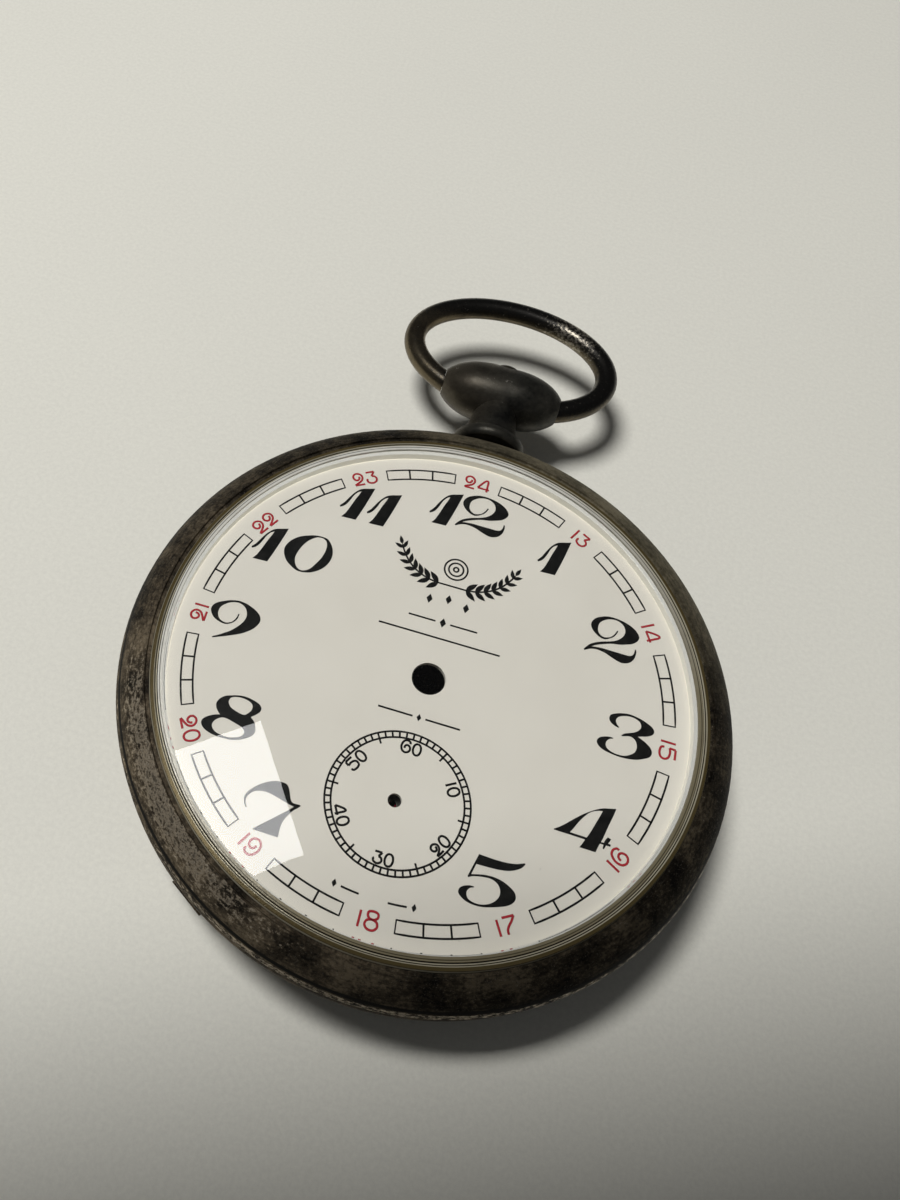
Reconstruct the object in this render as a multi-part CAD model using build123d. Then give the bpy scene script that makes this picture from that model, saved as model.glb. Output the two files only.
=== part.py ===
from build123d import *
from math import acos, atan2, cos, degrees, hypot, radians, sin, sqrt
import os

# Open-face pocket watch, millimetres.
# Frame: origin at the centre of the case back's flat face, +Z out through the
# crystal, +Y towards the pendant at 12 o'clock, +X towards 3 o'clock.

# ---------------------------------------------------------------- driving sizes
# Case heights
SEAM_Z = 6.6            # joint line between the bezel and the case body
BACK_SEAM_Z = 3.6       # joint line between the case body and the back
DIAL_Z = 8.6            # printed face of the dial
LIP_Z = 10.16           # top of the bezel's inner lip
CRYSTAL_TOP = 11.25     # top of the domed crystal
STEM_Z = 5.6            # axis of the stem, pendant and bow pivot

# Case radii
CASE_R = 24.2           # widest radius of bezel and body
SEAM_R = 23.7           # bottom of the groove at the joint line
OPENING_R = 20.24       # bezel opening over the dial
SPIGOT_R = 22.55        # ring of the body that the bezel snaps over
BACK_SPIGOT_R = 22.75   # ring of the body that the back snaps over
BACK_FLAT_R = 11.0      # flat centre of the back
SNAP_GAP = 0.05         # radial clearance of the snap fits

# Pendant and bow
HEAD_Y = 31.2           # bow pivot axis, measured from the watch centre
HEAD_R = 2.8            # pendant head radius
HEAD_HALF = 5.45        # half length of the head along the pivot axis
FLANGE_R = 3.4
ROOT_R = 0.82            # stub of the pendant set in the case wall
FLANGE_Y = (24.3, 25.5)
TUBE_R = 1.45           # collar of the stem tube, that stands out of the head
TUBE_SHANK_R = 1.15
TUBE_BORE_R = 0.72
TUBE_END_Y = 34.0
CUP_R = 2.3             # recess around the stem tube
CUP_FLOOR_Y = 32.2
BOW_WIRE_R = 1.0
BOW_HALF_WIDTH = 9.35   # to the wire's centre line
BOW_HALF_HEIGHT = 5.8
BOW_PIN_R = 0.55
BOW_END_GAP = 0.03      # between each end of the wire and the head

# Movement
PLATE_R = 18.0
BRIDGE_TOP = 3.5        # outer face of the bridges, towards the back
BRIDGE_FACE = 4.5       # face where the bridges rest on the plate
PLATE_TOP = 7.4         # dial side of the plate
DIAL_BACK = 8.2
DIAL_R = 20.9
CENTRE_HOLE_R = 1.32
SECONDS_HOLE_R = 0.52
FIT = 0.03              # clearance between pieces that are set in each other
PIVOT_R = 0.15
JEWEL_R = 0.6

STEM_INNER_Y = 10.6      # pilot end of the stem
STEM_PULL = 0.7          # travel of the stem when it is drawn out to set the hands

# Gear train: teeth and modules
BARREL_TEETH, CENTRE_LEAVES, BARREL_MODULE = 78, 12, 0.1974
CENTRE_TEETH, THIRD_LEAVES, CENTRE_MODULE = 80, 10, 0.15
THIRD_TEETH, FOURTH_LEAVES, THIRD_MODULE = 75, 10, 0.13
FOURTH_TEETH, ESCAPE_LEAVES, FOURTH_MODULE = 80, 8, 0.11
CANNON_LEAVES, MINUTE_TEETH, MINUTE_MODULE = 12, 36, 0.15
MINUTE_LEAVES, HOUR_TEETH, HOUR_MODULE = 10, 40, 0.144
SETTING_TEETH = 34
CROWN_TEETH, RATCHET_TEETH, WINDING_MODULE = 28, 40, 0.3012
ESCAPE_TEETH = 15

# ---------------------------------------------------------------- layout
def polar(radius, angle, start=(0, 0)):
    """Point at a radius and an angle in degrees from a start point."""
    return (start[0] + radius * cos(radians(angle)), start[1] + radius * sin(radians(angle)))


def heading(a, b):
    """Angle in degrees of the line from a to b."""
    return degrees(atan2(b[1] - a[1], b[0] - a[0]))


def centre_distance(teeth_a, teeth_b, module):
    return module * (teeth_a + teeth_b) / 2


def meet(a, reach_a, b, reach_b, side):
    """Point reach_a from a and reach_b from b, left (+1) or right (-1) of a to b."""
    span = hypot(b[0] - a[0], b[1] - a[1])
    opening = degrees(acos((reach_a**2 + span**2 - reach_b**2) / (2 * reach_a * span)))
    return polar(reach_a, heading(a, b) + side * opening, a)


def mesh_phase(a, teeth_a, phase_a, b, teeth_b):
    """Tooth angle of gear b that puts a gap of b opposite a tooth of gear a."""
    line = heading(a, b)
    offset = (line - phase_a) / (360 / teeth_a)
    return line + 180 + (offset + 0.5) * 360 / teeth_b


CENTRE = (0, 0)
SECONDS = (-0.14, -10.0)
THIRD = meet(
    CENTRE,
    centre_distance(CENTRE_TEETH, THIRD_LEAVES, CENTRE_MODULE),
    SECONDS,
    centre_distance(THIRD_TEETH, FOURTH_LEAVES, THIRD_MODULE),
    side=1,
)
BARREL = polar(centre_distance(BARREL_TEETH, CENTRE_LEAVES, BARREL_MODULE), 30)
BALANCE = polar(10.4, 215)
ESCAPE = meet(
    SECONDS,
    centre_distance(FOURTH_TEETH, ESCAPE_LEAVES, FOURTH_MODULE),
    BALANCE,
    6.8,
    side=1,
)
LINE_OF_BEAT = heading(ESCAPE, BALANCE)
PALLET = polar(3.3, LINE_OF_BEAT, ESCAPE)
PALLET_BRIDGE_SCREW = polar(3.4, LINE_OF_BEAT + 90, PALLET)
MINUTE = polar(centre_distance(CANNON_LEAVES, MINUTE_TEETH, MINUTE_MODULE), 90)
SETTING = polar(centre_distance(MINUTE_TEETH, SETTING_TEETH, MINUTE_MODULE), 90, MINUTE)
CROWN = (0, 11.2)
CLICK_ANGLE = 62        # direction of the click's pivot from the barrel
CLICK = polar(8.1, CLICK_ANGLE, BARREL)
CLICK_SPRING_FOOT = (14.7, 8.0)
SETTING_LEVER_PIVOT = (3.0, 15.2)
SETTING_LEVER_POST = (0.1, 16.5)
YOKE_PIVOT = (-3.6, 12.0)
YOKE_FINGER = (0, 13.2)
BALANCE_COCK_FOOT = (-13.0, 3.0)
STUD_ANGLE = 130        # where the hairspring's outer end is held
HAIRSPRING_END_R = 3.45
HAIRSPRING_PITCH = 0.36
STUD = polar(HAIRSPRING_END_R, STUD_ANGLE, BALANCE)
POINTER_ANGLE = 112
CURB_ANGLE = 60

BARREL_BRIDGE_SCREWS = [(-5.5, 13.8), (-6.6, 3.9), (15.2, -0.6), (7.6, 14.2)]
TRAIN_BRIDGE_SCREWS = [(14.0, -6.6), (6.6, -13.8), (-1.0, -16.0)]
DIAL_FEET = [polar(15.6, angle) for angle in (20, 200, 292)]
CASE_SCREWS = [polar(17.5, angle) for angle in (130, 318)]


# ---------------------------------------------------------------- helpers
def save(node, shape):
    """Write one node, as a compound of its separate solids."""
    solids = shape.solids()
    result = solids[0] if len(solids) == 1 else Compound(children=list(solids))
    result.label = node
    export_step(result, f"parts/{node}.step")


def disc(radius, low, high, at=(0, 0)):
    """Round bar along Z between two heights."""
    return Pos(at[0], at[1], (low + high) / 2) * Cylinder(radius, high - low)


def bar_y(radius, low, high, z=STEM_Z):
    """Round bar along Y on the stem axis."""
    return Pos(0, (low + high) / 2, z) * Rot(X=-90) * Cylinder(radius, high - low)


def block(x, y, z):
    """Box given by its limits along each axis."""
    size = [high - low for low, high in (x, y, z)]
    middle = [(high + low) / 2 for low, high in (x, y, z)]
    return Pos(*middle) * Box(*size)


def slab(face, low, high):
    """Flat sketch given a thickness between two heights."""
    return Pos(0, 0, low) * extrude(face, high - low)


def turned(*edges):
    """Solid of revolution about Z from a closed outline in the XZ plane."""
    return revolve(make_face(Curve() + [Plane.XZ * edge for edge in edges]), Axis.Z)


def line(*points):
    return Polyline(*points)


def link(a, b, width):
    """Flat bar with round ends between two points."""
    length = hypot(b[0] - a[0], b[1] - a[1])
    middle = Pos((a[0] + b[0]) / 2, (a[1] + b[1]) / 2)
    return middle * Rot(Z=heading(a, b)) * SlotCenterToCenter(length, width)


def gear_face(teeth, module, phase, tip=0.7, root=1.0):
    """Outline of a gear with straight-sided clock teeth."""
    pitch = 360 / teeth
    pitch_r = module * teeth / 2
    tip_r = pitch_r + tip * module
    root_r = pitch_r - root * module
    points = []
    for tooth in range(teeth):
        middle = phase + tooth * pitch
        points += [
            polar(root_r, middle - 0.27 * pitch),
            polar(tip_r, middle - 0.10 * pitch),
            polar(tip_r, middle + 0.10 * pitch),
            polar(root_r, middle + 0.27 * pitch),
        ]
    return make_face(Polyline(*points, close=True))


def crossings(rim_r, hub_r, arms, arm_width, turn=0):
    """Openings between the arms of a wheel."""
    openings = Circle(rim_r) - Circle(hub_r)
    for arm in range(arms):
        spoke = Pos(rim_r / 2, 0) * Rectangle(rim_r + 1, arm_width)
        openings -= Rot(Z=turn + arm * 360 / arms) * spoke
    return openings


def wheel(teeth, module, phase, low, high, at, bore, hub_r, arms=5):
    """Toothed wheel with arms, bored to sit on its arbor."""
    rim_r = module * teeth / 2 - 3.6 * module
    face = gear_face(teeth, module, phase)
    face -= crossings(rim_r, hub_r, arms, 0.45)
    face -= Circle(bore)
    return Pos(*at) * slab(face, low, high)


def pinion(leaves, module, phase, low, high, at):
    return Pos(*at) * slab(gear_face(leaves, module, phase, tip=0.45, root=1.15), low, high)


def arbor(at, low_pivot, low, high, high_pivot, radius=0.35):
    """Arbor with a thin pivot at each end."""
    shaft = disc(radius, low, high, at)
    shaft += disc(PIVOT_R, low_pivot, low, at)
    shaft += disc(PIVOT_R, high, high_pivot, at)
    return shaft


def jewel(at, low, high, hole=PIVOT_R + FIT):
    """Round jewel with a pivot hole and an oil cup."""
    stone = disc(JEWEL_R, low, high, at) - disc(hole, low, high, at)
    cup = Pos(at[0], at[1], low) * Sphere(0.32)
    return stone - cup


def screw(at, head_low, head_high, shank_high, head_r=0.75, shank_r=0.4, slot_turn=0):
    """Cheese-head screw, head towards the back, with a screwdriver slot."""
    body = disc(head_r, head_low, head_high, at) + disc(shank_r, head_high, shank_high, at)
    slot = Rot(Z=slot_turn) * Box(3 * head_r, head_r * 0.3, (head_high - head_low) * 0.8)
    return body - Pos(at[0], at[1], head_low) * slot


def spiral(first_r, pitch, half_turns, width):
    """Flat spiral strip made of half circles about two alternating centres."""
    sides = []
    for shift in (-width / 2, width / 2):
        arcs = []
        for turn in range(half_turns):
            radius = first_r + turn * pitch / 2 + shift
            centre = (pitch / 4, 0) if turn % 2 else (-pitch / 4, 0)
            start = 180 if turn % 2 else 0
            arcs.append(CenterArc(centre, radius, start, 180))
        sides.append(arcs)
    inner, outer = sides
    caps = [Line(inner[0] @ 0, outer[0] @ 0), Line(inner[-1] @ 1, outer[-1] @ 1)]
    return make_face(Curve() + inner + outer + caps)


# ---------------------------------------------------------------- case
def make_bezel():
    """Convex ring with a turned lip that holds the crystal's edge."""
    crown_arc = ThreePointArc((21.85, 9.92), (23.35, 8.9), (CASE_R, 7.3))
    top = line(
        (20.45, 9.92),
        (20.45, LIP_Z),
        (20.8, LIP_Z),
        (20.9, 10.0),
        (21.02, 10.0),
        (21.1, 10.1),
        (21.36, 10.06),
        (21.5, 9.76),
        (21.76, 9.76),
        (21.85, 9.92),
    )
    skirt = line(
        (CASE_R, 7.3),
        (CASE_R, 7.05),
        (SEAM_R, SEAM_Z + 0.02),
        (SPIGOT_R + SNAP_GAP, SEAM_Z + 0.02),
        (SPIGOT_R + SNAP_GAP, 8.7),
        (OPENING_R, 8.7),
        (OPENING_R, 9.44),
        (20.94, 9.44),
        (20.94, 9.66),
        (20.45, 9.92),
    )
    return turned(top, crown_arc, skirt)


def make_crystal():
    """Domed glass with a bevelled edge."""
    edge = line((20.2, 9.47), (20.88, 9.47), (20.88, 9.62), (20.36, 9.9), (20.3, 10.05))
    dome = TangentArc((0, CRYSTAL_TOP), (20.3, 10.05), tangent=(1, 0))
    axis = line((0, CRYSTAL_TOP), (0, 10.25))
    hollow = TangentArc((0, 10.25), (20.2, 9.47), tangent=(1, 0))
    return turned(edge, dome, axis, hollow)


def make_case_middle():
    """Case body: outer band, spigots for bezel and back, and the movement seat."""
    band = [
        ThreePointArc((SEAM_R, SEAM_Z - 0.02), (24.08, 6.38), (CASE_R, 6.0)),
        ThreePointArc((CASE_R, 6.0), (24.05, 4.7), (23.5, BACK_SEAM_Z + 0.02)),
    ]
    inside = line(
        (23.5, BACK_SEAM_Z + 0.02),
        (BACK_SPIGOT_R, BACK_SEAM_Z + 0.02),
        (BACK_SPIGOT_R, 2.9),
        (22.0, 2.9),
        (22.0, 6.5),
        (18.15, 6.5),
        (18.15, 7.7),
        (18.75, 7.7),
        (18.75, 8.15),
        (SPIGOT_R, 8.15),
        (SPIGOT_R, SEAM_Z - 0.02),
        (SEAM_R, SEAM_Z - 0.02),
    )
    body = turned(*band, inside)
    return body - bar_y(ROOT_R + FIT, 20, 26)


def make_case_back():
    """Domed back with a flat centre, a snap rim and a lip to open it by."""
    outside = TangentArc((BACK_FLAT_R, 0), (23.45, BACK_SEAM_Z - 0.02), tangent=(1, 0))
    rim = line(
        (23.45, BACK_SEAM_Z - 0.02),
        (BACK_SPIGOT_R + SNAP_GAP, BACK_SEAM_Z - 0.02),
        (BACK_SPIGOT_R + SNAP_GAP, 2.75),
        (21.7, 2.75),
    )
    inside = TangentArc((BACK_FLAT_R, 0.65), (21.7, 2.75), tangent=(1, 0))
    floor = line((BACK_FLAT_R, 0.65), (0, 0.65), (0, 0), (BACK_FLAT_R, 0))
    lip = Rot(Z=238) * block((23.0, 24.15), (-1.6, 1.6), (3.1, BACK_SEAM_Z - 0.02))
    lip = lip - Rot(Z=238) * Pos(24.6, 0, 2.75) * Rot(X=90) * Cylinder(0.75, 4)
    return turned(outside, rim, inside, floor) + lip


def head_radius(x):
    """Radius of the pendant head at a distance from its middle."""
    return HEAD_R * (1 - abs(x / 6.05) ** 2.9) ** 0.62


def make_pendant():
    """Flange, flared neck and barrel-shaped head with a recess for the crown."""
    stations = [(x, head_radius(x)) for x in (-HEAD_HALF, -4.6, -3.4, -1.8, 0, 1.8, 3.4, 4.6, HEAD_HALF)]
    outline = Spline(*stations)
    end_r = head_radius(HEAD_HALF)
    axis = line((HEAD_HALF, end_r), (HEAD_HALF, 0), (-HEAD_HALF, 0), (-HEAD_HALF, end_r))
    head = Pos(0, HEAD_Y, STEM_Z) * revolve(make_face(Curve() + [outline, axis]), Axis.X)
    low, high = FLANGE_Y
    neck_side = Spline((2.85, high), (2.4, 26.6), (2.05, 28.2), (1.95, 29.6))
    neck_edges = [
        line((0, 29.6), (0, low), (FLANGE_R - 0.35, low)),
        ThreePointArc((FLANGE_R - 0.35, low), (FLANGE_R, (low + high) / 2), (FLANGE_R - 0.35, high)),
        line((FLANGE_R - 0.35, high), (2.85, high)),
        neck_side,
        line((1.95, 29.6), (0, 29.6)),
    ]
    neck = Pos(0, 0, STEM_Z) * revolve(make_face(Curve() + neck_edges), Axis.Y)
    root = bar_y(ROOT_R, 22.1, low + 0.1)
    solid = head + neck + root
    solid -= bar_y(CUP_R, CUP_FLOOR_Y, 36)
    solid -= bar_y(TUBE_SHANK_R + FIT, 26.2, 36)
    solid -= bar_y(TUBE_BORE_R, 20, 30)
    for side in (-1, 1):
        socket = Pos(side * 4.6, HEAD_Y, STEM_Z) * Rot(Y=90) * Cylinder(BOW_PIN_R + 0.06, 2.2)
        solid -= socket
    return solid


def make_stem_tube():
    """Sleeve that carries the stem through the pendant, with a wider collar for the crown."""
    tube = bar_y(TUBE_SHANK_R, 26.25, CUP_FLOOR_Y) + bar_y(TUBE_R, CUP_FLOOR_Y, TUBE_END_Y)
    tube -= bar_y(TUBE_BORE_R, 26, TUBE_END_Y + 1)
    return chamfer(tube.faces().sort_by(Axis.Y)[-1].outer_wire().edges(), 0.18)


def make_bow():
    """Oval wire bow with a pin at each end that turns in the head."""
    drop = BOW_HALF_HEIGHT * sqrt(1 - (HEAD_HALF / BOW_HALF_WIDTH) ** 2)
    centre = (0, HEAD_Y + drop, 0)
    path = EllipticalCenterArc(centre, BOW_HALF_WIDTH, BOW_HALF_HEIGHT, -62, arc_size=304)
    wire = sweep(Plane(path @ 0, z_dir=path % 0) * Circle(BOW_WIRE_R), path)
    face_x = HEAD_HALF + BOW_END_GAP
    wire -= block((-face_x, face_x), (HEAD_Y - 5, HEAD_Y + 3), (-3, 3))
    for side in (-1, 1):
        pin = Pos(side * (face_x - 0.7), HEAD_Y, 0) * Rot(Y=90) * Cylinder(BOW_PIN_R, 2.2)
        wire += pin
    return Pos(0, 0, STEM_Z) * wire


def make_case_screws():
    """Two screws whose heads reach under the seat of the case."""
    group = Part()
    for at in CASE_SCREWS:
        group += screw(at, 5.9, 6.44, 7.0, head_r=1.0, shank_r=0.4)
    return group


# ---------------------------------------------------------------- dial
def make_dial():
    """Disc with holes for the hand arbors and three feet soldered to its back."""
    plate = disc(DIAL_R, DIAL_BACK, DIAL_Z)
    plate -= disc(CENTRE_HOLE_R, DIAL_BACK, DIAL_Z) + disc(SECONDS_HOLE_R, DIAL_BACK, DIAL_Z, SECONDS)
    for at in DIAL_FEET:
        plate += disc(0.5, 6.4, DIAL_BACK, at)
    return plate


# ---------------------------------------------------------------- plate and bridges
def make_mainplate():
    """Round plate, milled out on the back for the train and in front for the motion work."""
    plate = disc(PLATE_R, BRIDGE_FACE, PLATE_TOP)
    plate += disc(PLATE_R, PLATE_TOP, DIAL_BACK) - disc(16.9, PLATE_TOP, DIAL_BACK)
    plate += disc(18.6, 7.75, DIAL_BACK) - disc(16.9, 7.75, DIAL_BACK)
    back_pockets = [
        disc(8.15, BRIDGE_FACE, 5.8, BARREL),
        disc(6.4, BRIDGE_FACE, 6.12, CENTRE),
        disc(5.25, BRIDGE_FACE, 6.42, THIRD),
        disc(4.75, BRIDGE_FACE, 5.7, SECONDS),
        disc(1.2, BRIDGE_FACE, 6.42, SECONDS),
        disc(2.95, BRIDGE_FACE, 6.1, ESCAPE),
        disc(2.4, BRIDGE_FACE, 6.1, PALLET),
        disc(6.6, BRIDGE_FACE, 5.45, BALANCE),
        disc(2.2, BRIDGE_FACE, 6.1, BALANCE),
        slab(link(PALLET, BALANCE, 2.6), BRIDGE_FACE, 6.1),
        slab(link(PALLET, PALLET_BRIDGE_SCREW, 1.9), BRIDGE_FACE, 6.1),
    ]
    front_pockets = [
        disc(3.2, 6.75, PLATE_TOP, CENTRE),
        disc(3.0, 6.75, PLATE_TOP, MINUTE),
        disc(2.85, 6.75, PLATE_TOP, SETTING),
    ]
    keyless_pockets = [
        block((-1.6, 1.6), (11.5, 14.1), (4.0, 9)),
        block((-2.3, 2.3), (14.1, 15.95), (3.0, 9)),
        block((-0.5, 0.95), (15.9, 16.8 + STEM_PULL), (5.0, 9)),
        block((-0.6, 1.8), (15.9, 17.75), (7.5, 9)),
        bar_y(0.62, 15.5, 20),
        bar_y(0.29, STEM_INNER_Y - 0.1, 11.6),
    ]
    holes = [disc(JEWEL_R + FIT, 5.0, 7.0, at) for at in (THIRD, SECONDS, ESCAPE, PALLET, BALANCE)]
    holes += [disc(0.8, 5.0, 8.0, CENTRE), disc(0.75, 5.0, 7.0, BARREL), disc(0.3, 6.0, 8.0, SECONDS)]
    bridge_screws = BARREL_BRIDGE_SCREWS + TRAIN_BRIDGE_SCREWS + [BALANCE_COCK_FOOT]
    holes += [disc(0.42, 4.0, 6.3, at) for at in bridge_screws]
    holes += [disc(0.42, 4.0, 7.6, PALLET_BRIDGE_SCREW)]
    holes += [disc(0.3, 6.0, 8.0, at) for at in (MINUTE, SETTING)]
    holes += [disc(0.47, 5.8, 8.0, at) for at in (SETTING_LEVER_PIVOT, YOKE_PIVOT)]
    holes += [disc(0.53, 6.3, 9.0, at) for at in DIAL_FEET]
    for at in CASE_SCREWS:
        holes += [disc(1.1, 4.0, 6.47, at), disc(0.42, 6.0, 7.2, at)]
    for cut in back_pockets + front_pockets + keyless_pockets + holes:
        plate -= cut
    return plate


def make_barrel_bridge():
    """Bridge over the barrel and the centre wheel; carries the winding wheels."""
    outline = Circle(17.5) & (Pos(4.6, 8.0) * Rectangle(26.4, 20.0))
    outline -= Pos(*BALANCE) * Circle(6.75)
    outline -= Pos(*BALANCE_COCK_FOOT) * Circle(2.9)
    bridge = slab(outline, BRIDGE_TOP, BRIDGE_FACE)
    bridge -= block((-2.3, 2.3), (14.1, 18), (3, 5))
    bridge -= bar_y(1.5, 11.5, 14.2)
    bridge -= disc(JEWEL_R + FIT, 3, 5, CENTRE)
    bridge -= disc(0.75, 3, 5, BARREL)
    bridge -= disc(0.34, 3, 5, CROWN)
    bridge -= disc(0.34, 3, 5, CLICK)
    for at in BARREL_BRIDGE_SCREWS:
        bridge -= disc(0.43, 3, 5, at)
    return bridge


def make_train_bridge():
    """Bridge over the third, seconds and escape wheels."""
    outline = Circle(17.5) & (Pos(4.0, -12.3) * Rectangle(30.0, 20.0))
    outline -= Pos(*BALANCE) * Circle(6.75)
    outline += Pos(*ESCAPE) * Circle(1.3)
    outline &= Circle(17.5)
    bridge = slab(outline, BRIDGE_TOP, BRIDGE_FACE)
    for at in (THIRD, SECONDS, ESCAPE):
        bridge -= disc(JEWEL_R + FIT, 3, 5, at)
    for at in TRAIN_BRIDGE_SCREWS:
        bridge -= disc(0.43, 3, 5, at)
    return bridge


def make_balance_cock():
    """Cock that carries the outer balance pivot and the regulator."""
    outline = link(BALANCE, BALANCE_COCK_FOOT, 3.0)
    outline += Pos(*BALANCE) * Circle(1.9)
    outline += Pos(*BALANCE_COCK_FOOT) * Circle(2.5)
    cock = slab(outline, BRIDGE_TOP, BRIDGE_FACE)
    cock -= disc(JEWEL_R + FIT, 3, 5, BALANCE)
    cock -= disc(0.43, 3, 5, BALANCE_COCK_FOOT)
    cock -= disc(0.33, 3, 5, STUD)
    return cock


def make_pallet_bridge():
    """Small bridge over the pallet arbor, held by one flush screw."""
    bar = slab(link(PALLET, PALLET_BRIDGE_SCREW, 1.7), 5.37, 5.65)
    bar += disc(0.8, 5.65, 6.07, PALLET_BRIDGE_SCREW)
    bar -= disc(PIVOT_R + FIT, 5, 6, PALLET)
    bar -= disc(0.43, 5, 7, PALLET_BRIDGE_SCREW)
    bar -= disc(0.62, 5, 5.5, PALLET_BRIDGE_SCREW)
    return bar


def make_bridge_screws():
    group = Part()
    seats = BARREL_BRIDGE_SCREWS + TRAIN_BRIDGE_SCREWS + [BALANCE_COCK_FOOT]
    for index, at in enumerate(seats):
        group += screw(at, 2.95, BRIDGE_TOP - 0.02, 6.0, slot_turn=37 * index)
    group += screw(PALLET_BRIDGE_SCREW, 5.38, 5.49, 7.0, head_r=0.6)
    click_screw = screw(CLICK, 2.65, 3.05, 4.3, head_r=0.8, shank_r=0.3, slot_turn=60)
    group += click_screw + disc(0.4, 3.05, BRIDGE_TOP - 0.02, CLICK)
    return group


# ---------------------------------------------------------------- jewels
def make_plate_jewels():
    """Jewels in the plate, pivot side towards the wheels."""
    group = Part()
    for at in (THIRD, SECONDS):
        group += jewel(at, 6.45, 6.8)
    for at in (ESCAPE, PALLET, BALANCE):
        group += jewel(at, 6.15, 6.5)
    return group


def make_bridge_jewels():
    """Jewels in the bridges and the cock."""
    group = Part()
    for at in (CENTRE, THIRD, SECONDS, ESCAPE, BALANCE):
        group += jewel(at, BRIDGE_TOP + 0.35, BRIDGE_FACE - 0.1)
    return group


def make_balance_cap():
    """Cap over the outer balance jewel that the regulator turns on."""
    cap = disc(0.85, 3.05, BRIDGE_TOP - 0.02, BALANCE) + disc(1.15, 3.0, 3.12, BALANCE)
    return cap - disc(0.4, 3.0, 3.3, BALANCE)


# ---------------------------------------------------------------- barrel and winding
def make_barrel():
    """Toothed drum, open towards the back."""
    pitch_r = BARREL_MODULE * BARREL_TEETH / 2
    drum = disc(pitch_r - 0.35, 4.55, 5.75, BARREL)
    face = gear_face(BARREL_TEETH, BARREL_MODULE, 0, tip=0.6, root=0.9)
    drum += Pos(*BARREL) * slab(face, 5.4, 5.75)
    drum -= disc(6.9, 4.7, 5.55, BARREL)
    drum -= disc(7.1, 4.5, 4.7, BARREL)
    return drum - disc(0.65, 4, 6, BARREL)


def make_barrel_lid():
    return disc(7.1 - FIT, 4.56, 4.69, BARREL) - disc(0.65, 4, 6, BARREL)


def make_mainspring():
    """Coiled strip between the arbor and the drum wall."""
    strip = spiral(1.65, 0.42, 24, 0.16)
    return Pos(*BARREL) * slab(strip, 4.8, 5.45)


def make_barrel_arbor():
    """Arbor with a hub inside the drum and a square for the ratchet wheel."""
    shaft = disc(0.6, 3.45, 6.6, BARREL) + disc(1.4, 4.75, 5.5, BARREL)
    square = Pos(*BARREL) * slab(Rectangle(0.8, 0.8), 3.06, 3.45)
    hole = disc(0.22, 3.0, 4.4, BARREL)
    return shaft + square - hole


def make_ratchet_wheel():
    """Wheel with slanted ratchet teeth on the barrel arbor's square."""
    pitch_r = WINDING_MODULE * RATCHET_TEETH / 2
    pitch = 360 / RATCHET_TEETH
    points = []
    for tooth in range(RATCHET_TEETH):
        start = RATCHET_PHASE + tooth * pitch
        points += [
            polar(pitch_r - 0.3, start - 0.30 * pitch),
            polar(pitch_r + 0.16, start - 0.12 * pitch),
            polar(pitch_r + 0.16, start + 0.04 * pitch),
            polar(pitch_r - 0.3, start + 0.24 * pitch),
        ]
    face = make_face(Polyline(*points, close=True)) - Rectangle(0.86, 0.86)
    return Pos(*BARREL) * slab(face, 3.06, 3.44)


def make_ratchet_screw():
    return screw(BARREL, 2.6, 3.03, 4.3, head_r=1.7, shank_r=0.19, slot_turn=20)


def make_crown_wheel():
    """Wheel between the winding pinion and the ratchet wheel."""
    face = gear_face(CROWN_TEETH, WINDING_MODULE, CROWN_PHASE, tip=0.5, root=1.0) - Circle(0.75)
    return Pos(*CROWN) * slab(face, 3.06, 3.44)


def make_crown_core():
    """Shouldered ring and screw that the crown wheel turns on."""
    core = disc(0.7, 3.02, BRIDGE_TOP - 0.02, CROWN) + disc(1.5, 2.6, 3.02, CROWN)
    core += disc(0.3, BRIDGE_TOP - 0.02, 4.1, CROWN)
    return core - Pos(CROWN[0], CROWN[1], 2.6) * Rot(Z=-35) * Box(4, 0.4, 0.3)


def make_click():
    """Pawl beside the ratchet wheel, on its own shouldered screw."""
    tip = polar(WINDING_MODULE * RATCHET_TEETH / 2 + 0.42, CLICK_ANGLE + 14, BARREL)
    aim = heading(CLICK, tip)
    face = Pos(*CLICK) * Circle(0.95)
    left, right = polar(0.9, aim + 90, CLICK), polar(0.9, aim - 90, CLICK)
    face += make_face(Polyline(left, tip, right, close=True))
    face -= Pos(*CLICK) * Circle(0.45)
    return slab(face, 3.08, 3.42)


def make_click_spring():
    """Thin strip that presses the click towards the teeth."""
    strip = link(CLICK_SPRING_FOOT, polar(1.15, -35, CLICK), 0.18)
    return slab(strip, 3.12, 3.4) + disc(0.4, 3.0, BRIDGE_TOP - 0.02, CLICK_SPRING_FOOT)


# ---------------------------------------------------------------- going train
CENTRE_PINION_PHASE = mesh_phase(BARREL, BARREL_TEETH, 0, CENTRE, CENTRE_LEAVES)
THIRD_PINION_PHASE = mesh_phase(CENTRE, CENTRE_TEETH, 0, THIRD, THIRD_LEAVES)
FOURTH_PINION_PHASE = mesh_phase(THIRD, THIRD_TEETH, 0, SECONDS, FOURTH_LEAVES)
ESCAPE_PINION_PHASE = mesh_phase(SECONDS, FOURTH_TEETH, 0, ESCAPE, ESCAPE_LEAVES)
MINUTE_PHASE = mesh_phase(CENTRE, CANNON_LEAVES, 0, MINUTE, MINUTE_TEETH)
HOUR_PHASE = mesh_phase(MINUTE, MINUTE_LEAVES, 0, CENTRE, HOUR_TEETH)
SETTING_PHASE = mesh_phase(MINUTE, MINUTE_TEETH, MINUTE_PHASE, SETTING, SETTING_TEETH)
CROWN_PHASE = 0
RATCHET_PHASE = mesh_phase(CROWN, CROWN_TEETH, CROWN_PHASE, BARREL, RATCHET_TEETH)


def make_centre_wheel():
    return wheel(CENTRE_TEETH, CENTRE_MODULE, 0, 5.86, 6.04, CENTRE, 0.5 + FIT, 1.3)


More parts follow.
